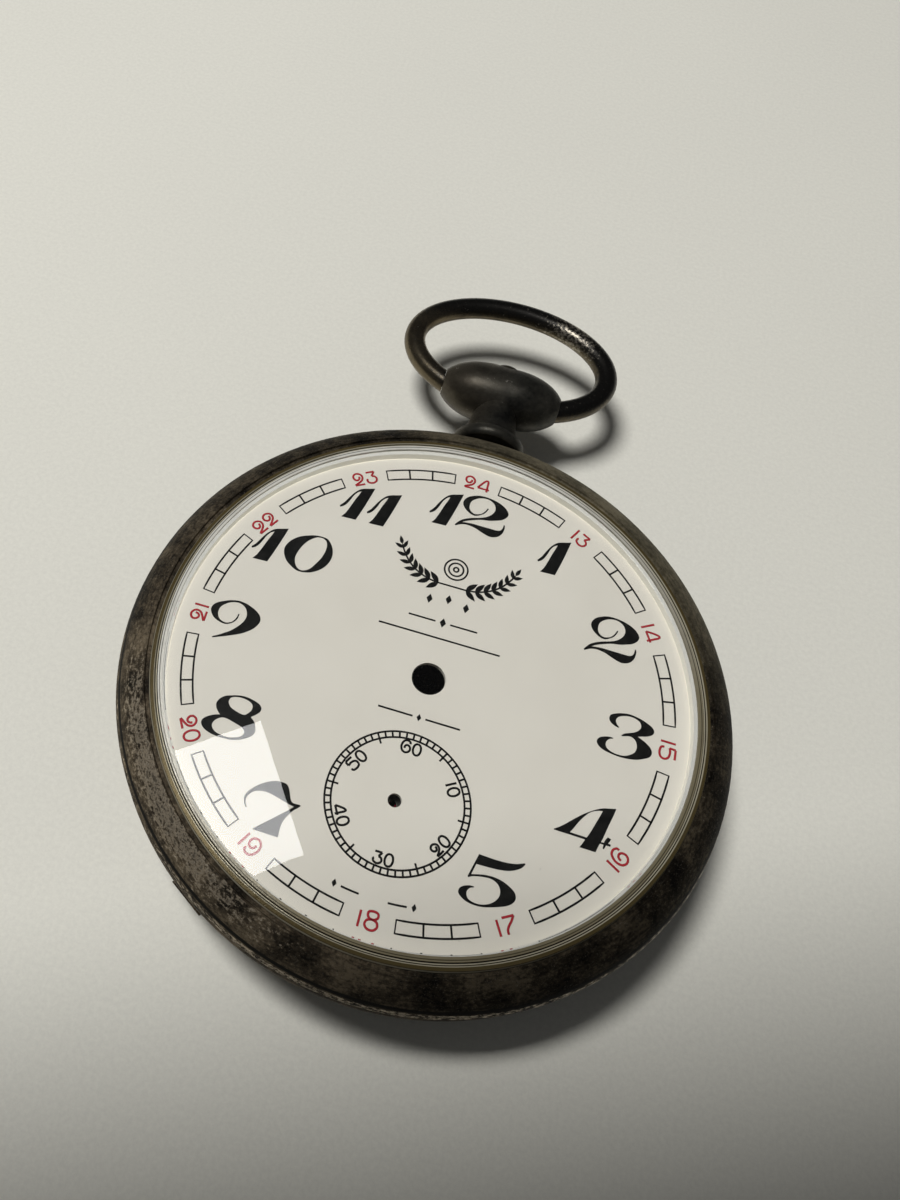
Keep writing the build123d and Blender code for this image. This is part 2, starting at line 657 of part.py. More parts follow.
def make_centre_pinion():
    """Centre arbor with its leaves; the cannon pinion rides on the long end."""
    shaft = disc(0.5, 4.45, 6.7, CENTRE) + disc(PIVOT_R, 3.8, 4.45, CENTRE)
    shaft += disc(0.32, 6.7, 8.05, CENTRE)
    return shaft + pinion(CENTRE_LEAVES, BARREL_MODULE, CENTRE_PINION_PHASE, 4.7, 5.8, CENTRE)


def make_third_wheel():
    return wheel(THIRD_TEETH, THIRD_MODULE, 0, 6.2, 6.35, THIRD, 0.35 + FIT, 1.0)


def make_third_pinion():
    shaft = arbor(THIRD, 3.85, 4.55, 6.4, 6.75)
    return shaft + pinion(THIRD_LEAVES, CENTRE_MODULE, THIRD_PINION_PHASE, 5.5, 6.15, THIRD)


def make_fourth_wheel():
    return wheel(FOURTH_TEETH, FOURTH_MODULE, 0, 5.42, 5.56, SECONDS, 0.35 + FIT, 1.0)


def make_fourth_pinion():
    """Seconds arbor with its leaves and the long pivot towards the dial."""
    shaft = arbor(SECONDS, 3.85, 4.55, 6.4, 8.0)
    return shaft + pinion(FOURTH_LEAVES, THIRD_MODULE, FOURTH_PINION_PHASE, 5.9, 6.4, SECONDS)


def make_escape_wheel():
    """Fifteen club-shaped teeth on a light rim."""
    pitch = 360 / ESCAPE_TEETH
    points = []
    for tooth in range(ESCAPE_TEETH):
        start = tooth * pitch
        points += [
            polar(2.05, start - 0.62 * pitch),
            polar(2.05, start - 0.30 * pitch),
            polar(2.52, start - 0.12 * pitch),
            polar(2.60, start + 0.02 * pitch),
            polar(2.40, start - 0.02 * pitch),
        ]
    face = make_face(Polyline(*points, close=True))
    face -= crossings(1.75, 0.75, 4, 0.35)
    face -= Circle(0.3 + FIT)
    return Pos(*ESCAPE) * slab(face, 5.8, 5.95)


def make_escape_pinion():
    shaft = arbor(ESCAPE, 3.85, 4.55, 6.05, 6.45, radius=0.16)
    shaft += disc(0.3, 5.75, 6.0, ESCAPE)
    return shaft + pinion(ESCAPE_LEAVES, FOURTH_MODULE, ESCAPE_PINION_PHASE, 5.15, 5.75, ESCAPE)


# ---------------------------------------------------------------- escapement
PALLET_ARM_ANGLES = (LINE_OF_BEAT + 180 - 58, LINE_OF_BEAT + 180 + 58)


def make_pallet_fork():
    """Lever with two arms for the stones and a forked end at the balance."""
    reach = hypot(BALANCE[0] - PALLET[0], BALANCE[1] - PALLET[1]) - 1.15
    face = Pos(*PALLET) * Circle(0.45)
    for angle in PALLET_ARM_ANGLES:
        face += link(PALLET, polar(1.75, angle, PALLET), 0.42)
    face += link(PALLET, polar(reach - 0.35, LINE_OF_BEAT, PALLET), 0.34)
    fork_end = polar(reach - 0.2, LINE_OF_BEAT, PALLET)
    face += Pos(*fork_end) * Rot(Z=LINE_OF_BEAT) * Rectangle(0.5, 0.95)
    face -= Pos(*polar(reach, LINE_OF_BEAT, PALLET)) * Rot(Z=LINE_OF_BEAT) * Rectangle(0.6, 0.4)
    face -= Pos(*PALLET) * Circle(0.25 + FIT)
    return slab(face, 5.78, 5.93)


def make_pallet_staff():
    return arbor(PALLET, 5.42, 5.67, 6.05, 6.45, radius=0.25)


def make_pallet_stones():
    """Two ruby stones under the lever's arms."""
    group = Part()
    for angle in PALLET_ARM_ANGLES:
        at = polar(1.75, angle, PALLET)
        stone = Pos(at[0], at[1], 6.01) * Rot(Z=heading(at, ESCAPE)) * Box(0.7, 0.28, 0.12)
        group += stone
    return group


def make_balance_wheel():
    """Rim with two arms."""
    face = Circle(6.0) - crossings(5.45, 0.9, 2, 0.7, turn=25)
    face -= Circle(0.4 + FIT)
    return Pos(*BALANCE) * slab(face, 5.0, 5.3)


def make_balance_screws():
    """Timing screws around the rim."""
    group = Part()
    for index in range(14):
        angle = 25 + (index + 0.5) * 360 / 14
        head = Pos(6.22, 0, 5.15) * Rot(Y=90) * Cylinder(0.14, 0.38)
        group += Pos(*BALANCE) * Rot(Z=angle) * head
    return group


def make_balance_staff():
    staff = arbor(BALANCE, 3.9, 4.5, 6.05, 6.45, radius=0.25)
    return staff + disc(0.4, 4.9, 5.5, BALANCE)


def make_roller():
    """Roller table with the impulse jewel's seat."""
    table = disc(1.25, 5.52, 5.66, BALANCE) - disc(0.25 + FIT, 5, 6, BALANCE)
    return table


def make_impulse_jewel():
    return disc(0.13, 5.67, 5.95, polar(0.85, LINE_OF_BEAT + 180, BALANCE))


def make_hairspring():
    """Flat spiral from the staff's collet to the stud."""
    half_turns = 16
    first = HAIRSPRING_END_R - HAIRSPRING_PITCH / 4 - (half_turns - 1) * HAIRSPRING_PITCH / 2
    strip = spiral(first, HAIRSPRING_PITCH, half_turns, 0.07)
    return Pos(*BALANCE) * Rot(Z=STUD_ANGLE) * slab(strip, 4.62, 4.78)


def make_hairspring_stud():
    stud = disc(0.3, BRIDGE_TOP + 0.05, 4.58, STUD)
    return stud


def make_regulator():
    """Pointer with a short arm whose two pins embrace the hairspring."""
    face = Pos(*BALANCE) * Circle(1.45)
    face += link(BALANCE, polar(4.6, POINTER_ANGLE, BALANCE), 0.5)
    face += link(BALANCE, polar(3.5, CURB_ANGLE, BALANCE), 0.7)
    face -= Pos(*BALANCE) * Circle(0.9)
    body = slab(face, 3.15, 3.45)
    for side in (-1, 1):
        radius = HAIRSPRING_END_R - 0.06 + side * HAIRSPRING_PITCH / 2
        body += disc(0.06, 3.4, 4.75, polar(radius, CURB_ANGLE, BALANCE))
    return body


# ---------------------------------------------------------------- motion work
def make_cannon_pinion():
    pipe = disc(0.6, 6.8, 8.0, CENTRE) + pinion(CANNON_LEAVES, MINUTE_MODULE, 0, 6.8, 7.15, CENTRE)
    return pipe - disc(0.32 + FIT, 6, 9, CENTRE)


def make_hour_wheel():
    body = Pos(*CENTRE) * slab(gear_face(HOUR_TEETH, HOUR_MODULE, HOUR_PHASE), 7.2, 7.38)
    body += disc(1.05, 7.2, 7.95, CENTRE)
    return body - disc(0.66, 7, 9, CENTRE)


def make_minute_wheel():
    body = Pos(*MINUTE) * slab(gear_face(MINUTE_TEETH, MINUTE_MODULE, MINUTE_PHASE), 6.82, 6.98)
    body += pinion(MINUTE_LEAVES, HOUR_MODULE, 0, 6.98, 7.42, MINUTE)
    return body - disc(0.33, 6, 9, MINUTE)


def make_setting_wheel():
    body = Pos(*SETTING) * slab(gear_face(SETTING_TEETH, MINUTE_MODULE, SETTING_PHASE), 6.82, 6.98)
    return body - disc(0.33, 6, 9, SETTING)


def make_motion_posts():
    """Posts that the minute and setting wheels turn on, with retaining heads."""
    group = Part()
    for at, head in ((MINUTE, 7.46), (SETTING, 7.02)):
        group += disc(0.28, 6.3, head, at) + disc(0.5, head, head + 0.12, at)
    return group


# ---------------------------------------------------------------- keyless work
def make_stem():
    """Stem with its square, the setting groove and the round end that takes a crown."""
    stem = bar_y(0.55, 14.3, TUBE_END_Y - 0.4) - (bar_y(0.8, 16.15, 16.85) - bar_y(0.34, 16, 17))
    square = block((-0.35, 0.35), (11.8, 14.3), (STEM_Z - 0.35, STEM_Z + 0.35))
    return stem + square + bar_y(0.25, STEM_INNER_Y, 11.8)


def contrate(radius, bore, low, high, teeth, tooth_depth):
    """Short cylinder along Y with ratchet notches on its outer end face."""
    body = bar_y(radius, low, high) - bar_y(bore, low, high)
    for index in range(teeth):
        notch = Pos(0, 0, radius) * Box(radius * 0.32, 2 * tooth_depth, 2 * radius)
        body -= Pos(0, high, STEM_Z) * Rot(Y=index * 360 / teeth) * notch
    return body


def make_winding_pinion():
    """Pinion that turns the crown wheel, free on the stem's round part."""
    face = gear_face(14, 0.27, 90, tip=0.45, root=0.8)
    teeth = Pos(0, 15.85, STEM_Z) * Rot(X=90) * extrude(face, 0.75)
    hub = bar_y(1.3, 14.2, 15.2)
    return teeth + hub - bar_y(0.6, 14, 16)


def make_clutch():
    """Sliding pinion with a groove for the yoke."""
    body = contrate(1.3, 0.56, 12.35, 14.05, 10, 0.18)
    groove = bar_y(2, 12.86, 13.54) - bar_y(0.85, 12.8, 13.6)
    return body - groove


def make_setting_lever():
    """Lever whose post sits in the stem's groove."""
    face = link(SETTING_LEVER_PIVOT, SETTING_LEVER_POST, 0.9)
    face += link(SETTING_LEVER_PIVOT, (5.2, 14.0), 0.9)
    face -= Pos(*SETTING_LEVER_PIVOT) * Circle(0.45)
    return slab(face, 7.78, 8.12) + disc(0.2, 6.04, 7.8, SETTING_LEVER_POST)


def make_yoke():
    """Lever whose finger sits in the clutch's groove."""
    face = link(YOKE_PIVOT, YOKE_FINGER, 0.9)
    face += link(YOKE_PIVOT, (-5.8, 10.2), 0.9)
    face -= Pos(*YOKE_PIVOT) * Circle(0.45)
    return slab(face, 7.78, 8.12) + disc(0.2, 6.55, 7.8, YOKE_FINGER)


def make_keyless_screws():
    """Pivot screws of the setting lever and the yoke."""
    group = Part()
    for at in (SETTING_LEVER_PIVOT, YOKE_PIVOT):
        group += disc(0.4, 6.0, 7.74, at) + disc(0.38, 7.7, 8.16, at)
    return group


def make_yoke_spring():
    """Strip spring that presses on the yoke's tail."""
    face = link((-9.4, 12.0), (-6.9, 9.6), 0.3) + link((-9.4, 12.0), (-7.6, 13.4), 1.2)
    return slab(face, 7.44, 8.1)


def make_setting_lever_spring():
    """Jumper plate that holds the setting lever in its two positions."""
    face = link((6.6, 14.6), (10.4, 11.2), 1.2) + link((6.6, 14.6), (5.9, 15.3), 0.4)
    return slab(face, 7.44, 8.1)


# ---------------------------------------------------------------- all the nodes
NODES = {
    "bezel": make_bezel,
    "crystal": make_crystal,
    "case_middle": make_case_middle,
    "case_back": make_case_back,
    "pendant": make_pendant,
    "stem_tube": make_stem_tube,
    "bow": make_bow,
    "case_screws": make_case_screws,
    "dial": make_dial,
    "mainplate": make_mainplate,
    "barrel_bridge": make_barrel_bridge,
    "train_bridge": make_train_bridge,
    "balance_cock": make_balance_cock,
    "pallet_bridge": make_pallet_bridge,
    "bridge_screws": make_bridge_screws,
    "plate_jewels": make_plate_jewels,
    "bridge_jewels": make_bridge_jewels,
    "balance_cap": make_balance_cap,
    "barrel": make_barrel,
    "barrel_lid": make_barrel_lid,
    "mainspring": make_mainspring,
    "barrel_arbor": make_barrel_arbor,
    "ratchet_wheel": make_ratchet_wheel,
    "ratchet_screw": make_ratchet_screw,
    "crown_wheel": make_crown_wheel,
    "crown_wheel_core": make_crown_core,
    "click": make_click,
    "click_spring": make_click_spring,
    "centre_wheel": make_centre_wheel,
    "centre_pinion": make_centre_pinion,
    "third_wheel": make_third_wheel,
    "third_pinion": make_third_pinion,
    "fourth_wheel": make_fourth_wheel,
    "fourth_pinion": make_fourth_pinion,
    "escape_wheel": make_escape_wheel,
    "escape_pinion": make_escape_pinion,
    "pallet_fork": make_pallet_fork,
    "pallet_staff": make_pallet_staff,
    "pallet_stones": make_pallet_stones,
    "balance_wheel": make_balance_wheel,
    "balance_screws": make_balance_screws,
    "balance_staff": make_balance_staff,
    "roller": make_roller,
    "impulse_jewel": make_impulse_jewel,
    "hairspring": make_hairspring,
    "hairspring_stud": make_hairspring_stud,
    "regulator": make_regulator,
    "cannon_pinion": make_cannon_pinion,
    "hour_wheel": make_hour_wheel,
    "minute_wheel": make_minute_wheel,
    "setting_wheel": make_setting_wheel,
    "motion_posts": make_motion_posts,
    "stem": make_stem,
    "winding_pinion": make_winding_pinion,
    "clutch": make_clutch,
    "setting_lever": make_setting_lever,
    "yoke": make_yoke,
    "keyless_screws": make_keyless_screws,
    "yoke_spring": make_yoke_spring,
    "setting_lever_spring": make_setting_lever_spring,
}

os.makedirs("parts", exist_ok=True)
for node, make in NODES.items():
    save(node, make())
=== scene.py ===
"""Looks of an open-face pocket watch: finishes, dial print, floor, light and camera."""

import math

import bpy
from mathutils import Matrix, Vector


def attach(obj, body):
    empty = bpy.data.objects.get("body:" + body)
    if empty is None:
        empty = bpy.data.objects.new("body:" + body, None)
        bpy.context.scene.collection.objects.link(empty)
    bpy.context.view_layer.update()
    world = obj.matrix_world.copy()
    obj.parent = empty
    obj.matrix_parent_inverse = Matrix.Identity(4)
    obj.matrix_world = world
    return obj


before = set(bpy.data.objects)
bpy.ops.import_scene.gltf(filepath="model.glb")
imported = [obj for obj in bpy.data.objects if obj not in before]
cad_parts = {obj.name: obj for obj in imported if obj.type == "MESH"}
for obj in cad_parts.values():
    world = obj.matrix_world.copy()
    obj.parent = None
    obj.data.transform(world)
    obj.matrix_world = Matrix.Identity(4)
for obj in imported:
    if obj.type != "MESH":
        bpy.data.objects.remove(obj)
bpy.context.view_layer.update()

MM = 0.001

# Sizes in mm; heights are above the flat of the back.
DIAL_FACE_Z = 8.6
PRINT_TURN = 0.52          # degrees that the print sits turned on the dial, anticlockwise
PRINT_HEIGHT = 0.012
SECONDS_CENTRE = (0.0, -10.04)
UNDER_DIAL_Z = 7.6         # middle of the movement that shows through the dial's holes
BEZEL_FOOT_Z = 7.2         # where the bezel meets the case body
TURNED_FOOT_Z = 8.6        # foot of the bezel's turned inner part
CRYSTAL_SEAT_Z = 9.5       # the seat under the crystal ends here
RIM_RADIUS = 23.0          # radius at which marks along the rim keep their length

# The hour digits, in mm from each digit's lower left corner. A digit is one outline and
# any holes in it; an outline is a ring of runs, smooth inside and cornered where they meet.
HOUR_DIGITS = {
    "0": [
        [
            [(2.7, 3.65), (3.15, 3.57), (3.5, 3.25), (3.8, 2.75), (3.93, 2.15), (3.85, 1.55),
             (3.6, 1), (3.2, 0.55), (2.7, 0.2), (2.2, 0.03), (1.7, -0.02), (1.3, 0.08), (0.9, 0.3),
             (0.5, 0.6), (0.15, 1.1), (0, 1.65), (0.1, 2.15), (0.4, 2.65), (0.9, 3.1), (1.5, 3.4),
             (2.1, 3.6), (2.7, 3.65)],
        ],
        [
            [(2.65, 3.53), (2.95, 3.45), (3.18, 3.2), (3.28, 2.75), (3.25, 2.25), (3.1, 1.65),
             (2.85, 1.1), (2.55, 0.55), (2.2, 0.23), (1.8, 0.13), (1.45, 0.3), (1.2, 0.65),
             (1.07, 1.15), (1.15, 1.75), (1.35, 2.35), (1.65, 2.9), (2, 3.27), (2.3, 3.47),
             (2.65, 3.53)],
        ],
    ],
    "1": [
        [
            [(2.05, 3.5), (1.78, 2.2), (1.5, 1), (1.24, 0.02)],
            [(1.24, 0.02), (0, -0.03)],
            [(0, -0.03), (0.25, 0.4), (0.45, 1), (0.7, 1.9), (0.9, 2.5), (1, 2.88)],
            [(1, 2.88), (0.75, 2.7), (0.5, 2.3), (0.3, 1.7), (0.1, 1.25), (-0.1, 1), (-0.32, 0.85)],
            [(-0.32, 0.85), (-0.4, 0.98)],
            [(-0.4, 0.98), (-0.1, 1.4), (0.2, 2.05), (0.5, 2.6), (0.85, 3.02), (1.2, 3.22),
             (1.6, 3.35), (2.05, 3.5)],
        ],
    ],
    "2": [
        [
            [(2.4, 2.62), (2.28, 2.3), (2.1, 2.02), (1.8, 1.78), (1.55, 1.64), (1.3, 1.6), (1, 1.68),
             (0.65, 1.9), (0.35, 2.2), (0.2, 2.55), (0.25, 2.9), (0.5, 3.25), (0.9, 3.5), (1.4, 3.68),
             (2, 3.72), (2.7, 3.62), (3.3, 3.42), (3.8, 3.1), (4.1, 2.65), (4, 2.25), (3.65, 1.9),
             (3.2, 1.7), (2.7, 1.52), (2, 1.38), (1.4, 1.15), (0.9, 0.92), (0.52, 0.68)],
            [(0.52, 0.68), (0.9, 0.73), (1.4, 0.78), (2.1, 0.77), (2.8, 0.77), (3.4, 0.77),
             (3.7, 0.85), (3.85, 1.05), (3.9, 1.3), (3.9, 1.48)],
            [(3.9, 1.48), (4, 1.47)],
            [(4, 1.47), (4.05, 1.2), (4, 0.8), (3.85, 0.45), (3.55, 0.15), (3.1, 0), (2.7, 0.05),
             (2.2, 0.22), (1.7, 0.42), (1.2, 0.52), (0.8, 0.52), (0.4, 0.4), (0.15, 0.25),
             (0.02, 0.17)],
            [(0.02, 0.17), (-0.04, 0.28)],
            [(-0.04, 0.28), (0.15, 0.55), (0.4, 0.85), (0.8, 1.12), (1.3, 1.35), (1.8, 1.52),
             (2.3, 1.75), (2.7, 2.1), (2.92, 2.5), (2.93, 2.9), (2.75, 3.25), (2.4, 3.48), (2, 3.55),
             (1.5, 3.45), (1.1, 3.2), (0.85, 2.9), (0.78, 2.55), (0.82, 2.2), (1, 1.93), (1.3, 1.78),
             (1.6, 1.82), (1.9, 1.98), (2.15, 2.3), (2.3, 2.66)],
            [(2.3, 2.66), (2.4, 2.62)],
        ],
    ],
    "3": [
        [
            [(1.38, 2.28), (1, 2.4), (0.7, 2.6), (0.58, 2.85), (0.65, 3.15), (0.95, 3.35),
             (1.4, 3.52), (1.9, 3.63), (2.4, 3.62), (3, 3.5), (3.5, 3.32), (3.9, 3.1), (4.08, 2.8),
             (3.95, 2.5), (3.6, 2.28), (3.2, 2.15), (2.9, 2.04)],
            [(2.9, 2.04), (3.2, 1.92), (3.6, 1.72), (3.95, 1.45), (4.12, 1.1), (4, 0.72), (3.6, 0.45),
             (3.1, 0.22), (2.6, 0.1), (2, 0.03), (1.4, 0.05), (0.9, 0.12), (0.4, 0.25), (0.05, 0.5),
             (-0.07, 0.8), (0.1, 1.1), (0.45, 1.28), (0.85, 1.38), (1.12, 1.37)],
            [(1.12, 1.37), (1.1, 1.3)],
            [(1.1, 1.3), (0.85, 1.2), (0.65, 0.95), (0.63, 0.65), (0.8, 0.4), (1.15, 0.24),
             (1.6, 0.18), (2.1, 0.22), (2.55, 0.45), (2.85, 0.75), (2.95, 1.15), (2.85, 1.55),
             (2.65, 1.78), (2.35, 1.87), (2, 1.8), (1.72, 1.7)],
            [(1.72, 1.7), (1.68, 1.78)],
            [(1.68, 1.78), (1.9, 1.98), (2.2, 2.12), (2.6, 2.3), (2.9, 2.55), (3.05, 2.85),
             (2.95, 3.2), (2.6, 3.4), (2.1, 3.46), (1.6, 3.35), (1.25, 3.15), (1.1, 2.85),
             (1.2, 2.58), (1.42, 2.36)],
            [(1.42, 2.36), (1.38, 2.28)],
        ],
    ],
    "4": [
        [
            [(4.2, 3.62), (4.05, 3), (3.8, 2.1), (3.6, 1.3), (3.47, 0.88)],
            [(3.47, 0.88), (3.67, 0.88)],
            [(3.67, 0.88), (3.77, 1.15), (3.9, 1.37)],
            [(3.9, 1.37), (4.15, 1.28)],
            [(4.15, 1.28), (4.07, 1.08), (3.97, 0.92)],
            [(3.97, 0.92), (4.18, 0.9)],
            [(4.18, 0.9), (4.18, 0.74)],
            [(4.18, 0.74), (3.85, 0.73)],
            [(3.85, 0.73), (3.82, 0.6), (3.75, 0.42)],
            [(3.75, 0.42), (3.65, 0.44)],
            [(3.65, 0.44), (3.67, 0.73)],
            [(3.67, 0.73), (3.41, 0.73)],
            [(3.41, 0.73), (3.3, 0.4), (3.2, 0.02)],
            [(3.2, 0.02), (2, 0.03)],
            [(2, 0.03), (2.15, 0.3), (2.32, 0.7)],
            [(2.32, 0.7), (1.15, 0.72)],
            [(1.15, 0.72), (0, 0.73)],
            [(0, 0.73), (0, 0.8)],
            [(0, 0.8), (0.35, 1.05), (0.75, 1.4), (1.15, 1.8), (1.65, 2.28), (2.15, 2.7),
             (2.65, 3.05), (3.15, 3.33), (3.65, 3.48), (4.2, 3.62)],
        ],
        [
            [(3.25, 3.15), (3.1, 2.7), (2.85, 2), (2.6, 1.3), (2.41, 0.88)],
            [(2.41, 0.88), (1.17, 0.9)],
            [(1.17, 0.9), (1.4, 1.3), (1.65, 1.8), (2, 2.35), (2.4, 2.8), (2.85, 3.05), (3.25, 3.15)],
        ],
    ],
    "5": [
        [
            [(0.85, 3.57), (1.35, 3.55), (2.15, 3.53), (2.95, 3.57), (3.55, 3.68), (3.9, 3.82),
             (4.15, 3.92)],
            [(4.15, 3.92), (4.19, 3.82)],
            [(4.19, 3.82), (3.95, 3.5), (3.55, 3.22), (3.05, 3.02), (2.35, 2.9), (1.55, 2.85),
             (0.8, 2.83)],
            [(0.8, 2.83), (0.6, 2.03)],
            [(0.6, 2.03), (1.15, 2.18), (1.65, 2.28), (2.25, 2.3), (2.85, 2.2), (3.45, 1.95),
             (3.85, 1.65), (3.97, 1.25), (3.8, 0.9), (3.45, 0.62), (2.95, 0.4), (2.45, 0.22),
             (1.85, 0.05), (1.25, 0), (0.65, 0.08), (0.2, 0.3), (-0.03, 0.55), (0, 0.85),
             (0.25, 1.08), (0.65, 1.23), (0.98, 1.25)],
            [(0.98, 1.25), (0.96, 1.17)],
            [(0.96, 1.17), (0.7, 1.05), (0.55, 0.8), (0.57, 0.55), (0.75, 0.3), (1.15, 0.17),
             (1.65, 0.18), (2.15, 0.35), (2.55, 0.65), (2.8, 1.05), (2.82, 1.45), (2.65, 1.8),
             (2.35, 2.02), (1.95, 2.12), (1.45, 2.08), (0.95, 1.98), (0.65, 1.88), (0.45, 1.75)],
            [(0.45, 1.75), (0.37, 1.82)],
            [(0.37, 1.82), (0.85, 3.57)],
        ],
    ],
    "7": [
        [
            [(0.35, 1.38), (0.12, 1.7), (0.02, 2.1), (0.15, 2.5), (0.4, 2.85), (0.8, 3.25),
             (1.3, 3.6), (1.8, 3.85), (2.3, 3.92), (2.7, 3.88), (2.95, 3.65), (3.12, 3.3), (3.3, 2.9),
             (3.5, 2.7), (3.8, 2.68), (4.08, 2.7)],
            [(4.08, 2.7), (4.14, 2.62)],
            [(4.14, 2.62), (3.95, 2.4), (3.75, 2.2), (3.5, 1.8), (3.3, 1.4), (3.18, 1), (3.17, 0.5),
             (3.22, -0.02)],
            [(3.22, -0.02), (1.32, 0)],
            [(1.32, 0), (1.32, 0.08)],
            [(1.32, 0.08), (1.8, 0.55), (2.3, 1.03), (2.8, 1.52), (3.3, 2.02), (3.68, 2.44)],
            [(3.68, 2.44), (3.4, 2.48), (2.8, 2.62), (2.2, 2.77), (1.6, 2.88), (1.1, 2.85),
             (0.65, 2.7), (0.35, 2.4), (0.2, 2.05), (0.25, 1.7), (0.42, 1.4)],
            [(0.42, 1.4), (0.35, 1.38)],
        ],
    ],
    "8": [
        [
            [(3.45, 2.18), (3.75, 2.45), (4, 2.78), (4, 3.1), (3.75, 3.35), (3.3, 3.5), (2.7, 3.6),
             (2.1, 3.55), (1.6, 3.4), (1.1, 3.2), (0.75, 2.85), (0.63, 2.45), (0.75, 2.1), (1, 1.82),
             (1.18, 1.68)],
            [(1.18, 1.68), (0.8, 1.55), (0.4, 1.32), (0.1, 1.05), (0, 0.75), (0.15, 0.45), (0.5, 0.2),
             (1, 0.05), (1.6, -0.02), (2.3, 0), (2.8, 0.1), (3.3, 0.3), (3.7, 0.55), (4, 0.85),
             (4.1, 1.2), (4, 1.55), (3.8, 1.9), (3.45, 2.18)],
        ],
        [
            [(2.5, 3.42), (3, 3.32), (3.3, 3.1), (3.35, 2.75), (3.2, 2.45), (2.95, 2.2), (2.6, 2.2),
             (2.2, 2.3), (1.8, 2.45), (1.55, 2.7), (1.48, 2.95), (1.6, 3.22), (2, 3.38), (2.5, 3.42)],
        ],
        [
            [(1.5, 1.52), (1.9, 1.5), (2.4, 1.38), (2.9, 1.25), (3.25, 1.05), (3.35, 0.8),
             (3.15, 0.5), (2.8, 0.3), (2.3, 0.17), (1.7, 0.18), (1.2, 0.32), (0.9, 0.6), (0.85, 0.9),
             (1, 1.2), (1.25, 1.42), (1.5, 1.52)],
        ],
    ],
    "9": [
        [
            [(2.28, 2.52), (2.28, 2.4), (2.25, 2.1), (2.1, 1.8), (1.85, 1.55), (1.55, 1.4),
             (1.25, 1.38), (0.85, 1.47), (0.45, 1.65), (0.15, 1.95), (-0.02, 2.3), (0.05, 2.7),
             (0.35, 3.02), (0.75, 3.25), (1.25, 3.48), (1.85, 3.62), (2.45, 3.58), (2.95, 3.43),
             (3.45, 3.2), (3.85, 2.88), (4.02, 2.45), (3.9, 2), (3.6, 1.55), (3.15, 1.15),
             (2.75, 0.88), (2.25, 0.62), (1.75, 0.38), (1.25, 0.15), (0.85, -0.02)],
            [(0.85, -0.02), (0.8, 0.07)],
            [(0.8, 0.07), (1.25, 0.35), (1.65, 0.65), (2.05, 0.98), (2.45, 1.45), (2.75, 1.95),
             (2.87, 2.4), (2.8, 2.8), (2.6, 3.15), (2.25, 3.38), (1.85, 3.45), (1.35, 3.32),
             (0.95, 3.05), (0.67, 2.7), (0.6, 2.3), (0.7, 1.95), (0.9, 1.68), (1.25, 1.53),
             (1.55, 1.53), (1.85, 1.68), (2.03, 1.9), (2.15, 2.2), (2.18, 2.52)],
            [(2.18, 2.52), (2.28, 2.52)],
        ],
    ],
}

# Where each digit of the hours stands, in mm from the middle of the dial.
HOUR_PLACES = [
    ("1", 6.6, 12.0),
    ("2", 11.2, 6.0),
    ("3", 13.4, -1.7),
    ("4", 11.35, -9.3),
    ("5", 5.65, -15.5),
    ("7", -10.8, -15.1),
    ("8", -15.6, -9.3),
    ("9", -17.85, -1.8),
    ("1", -16.13, 5.88),
    ("0", -13.9, 5.85),
    ("1", -10.28, 11.91),
    ("1", -7.95, 11.99),
    ("1", -2.96, 13.73),
    ("2", -1.0, 13.87),
]

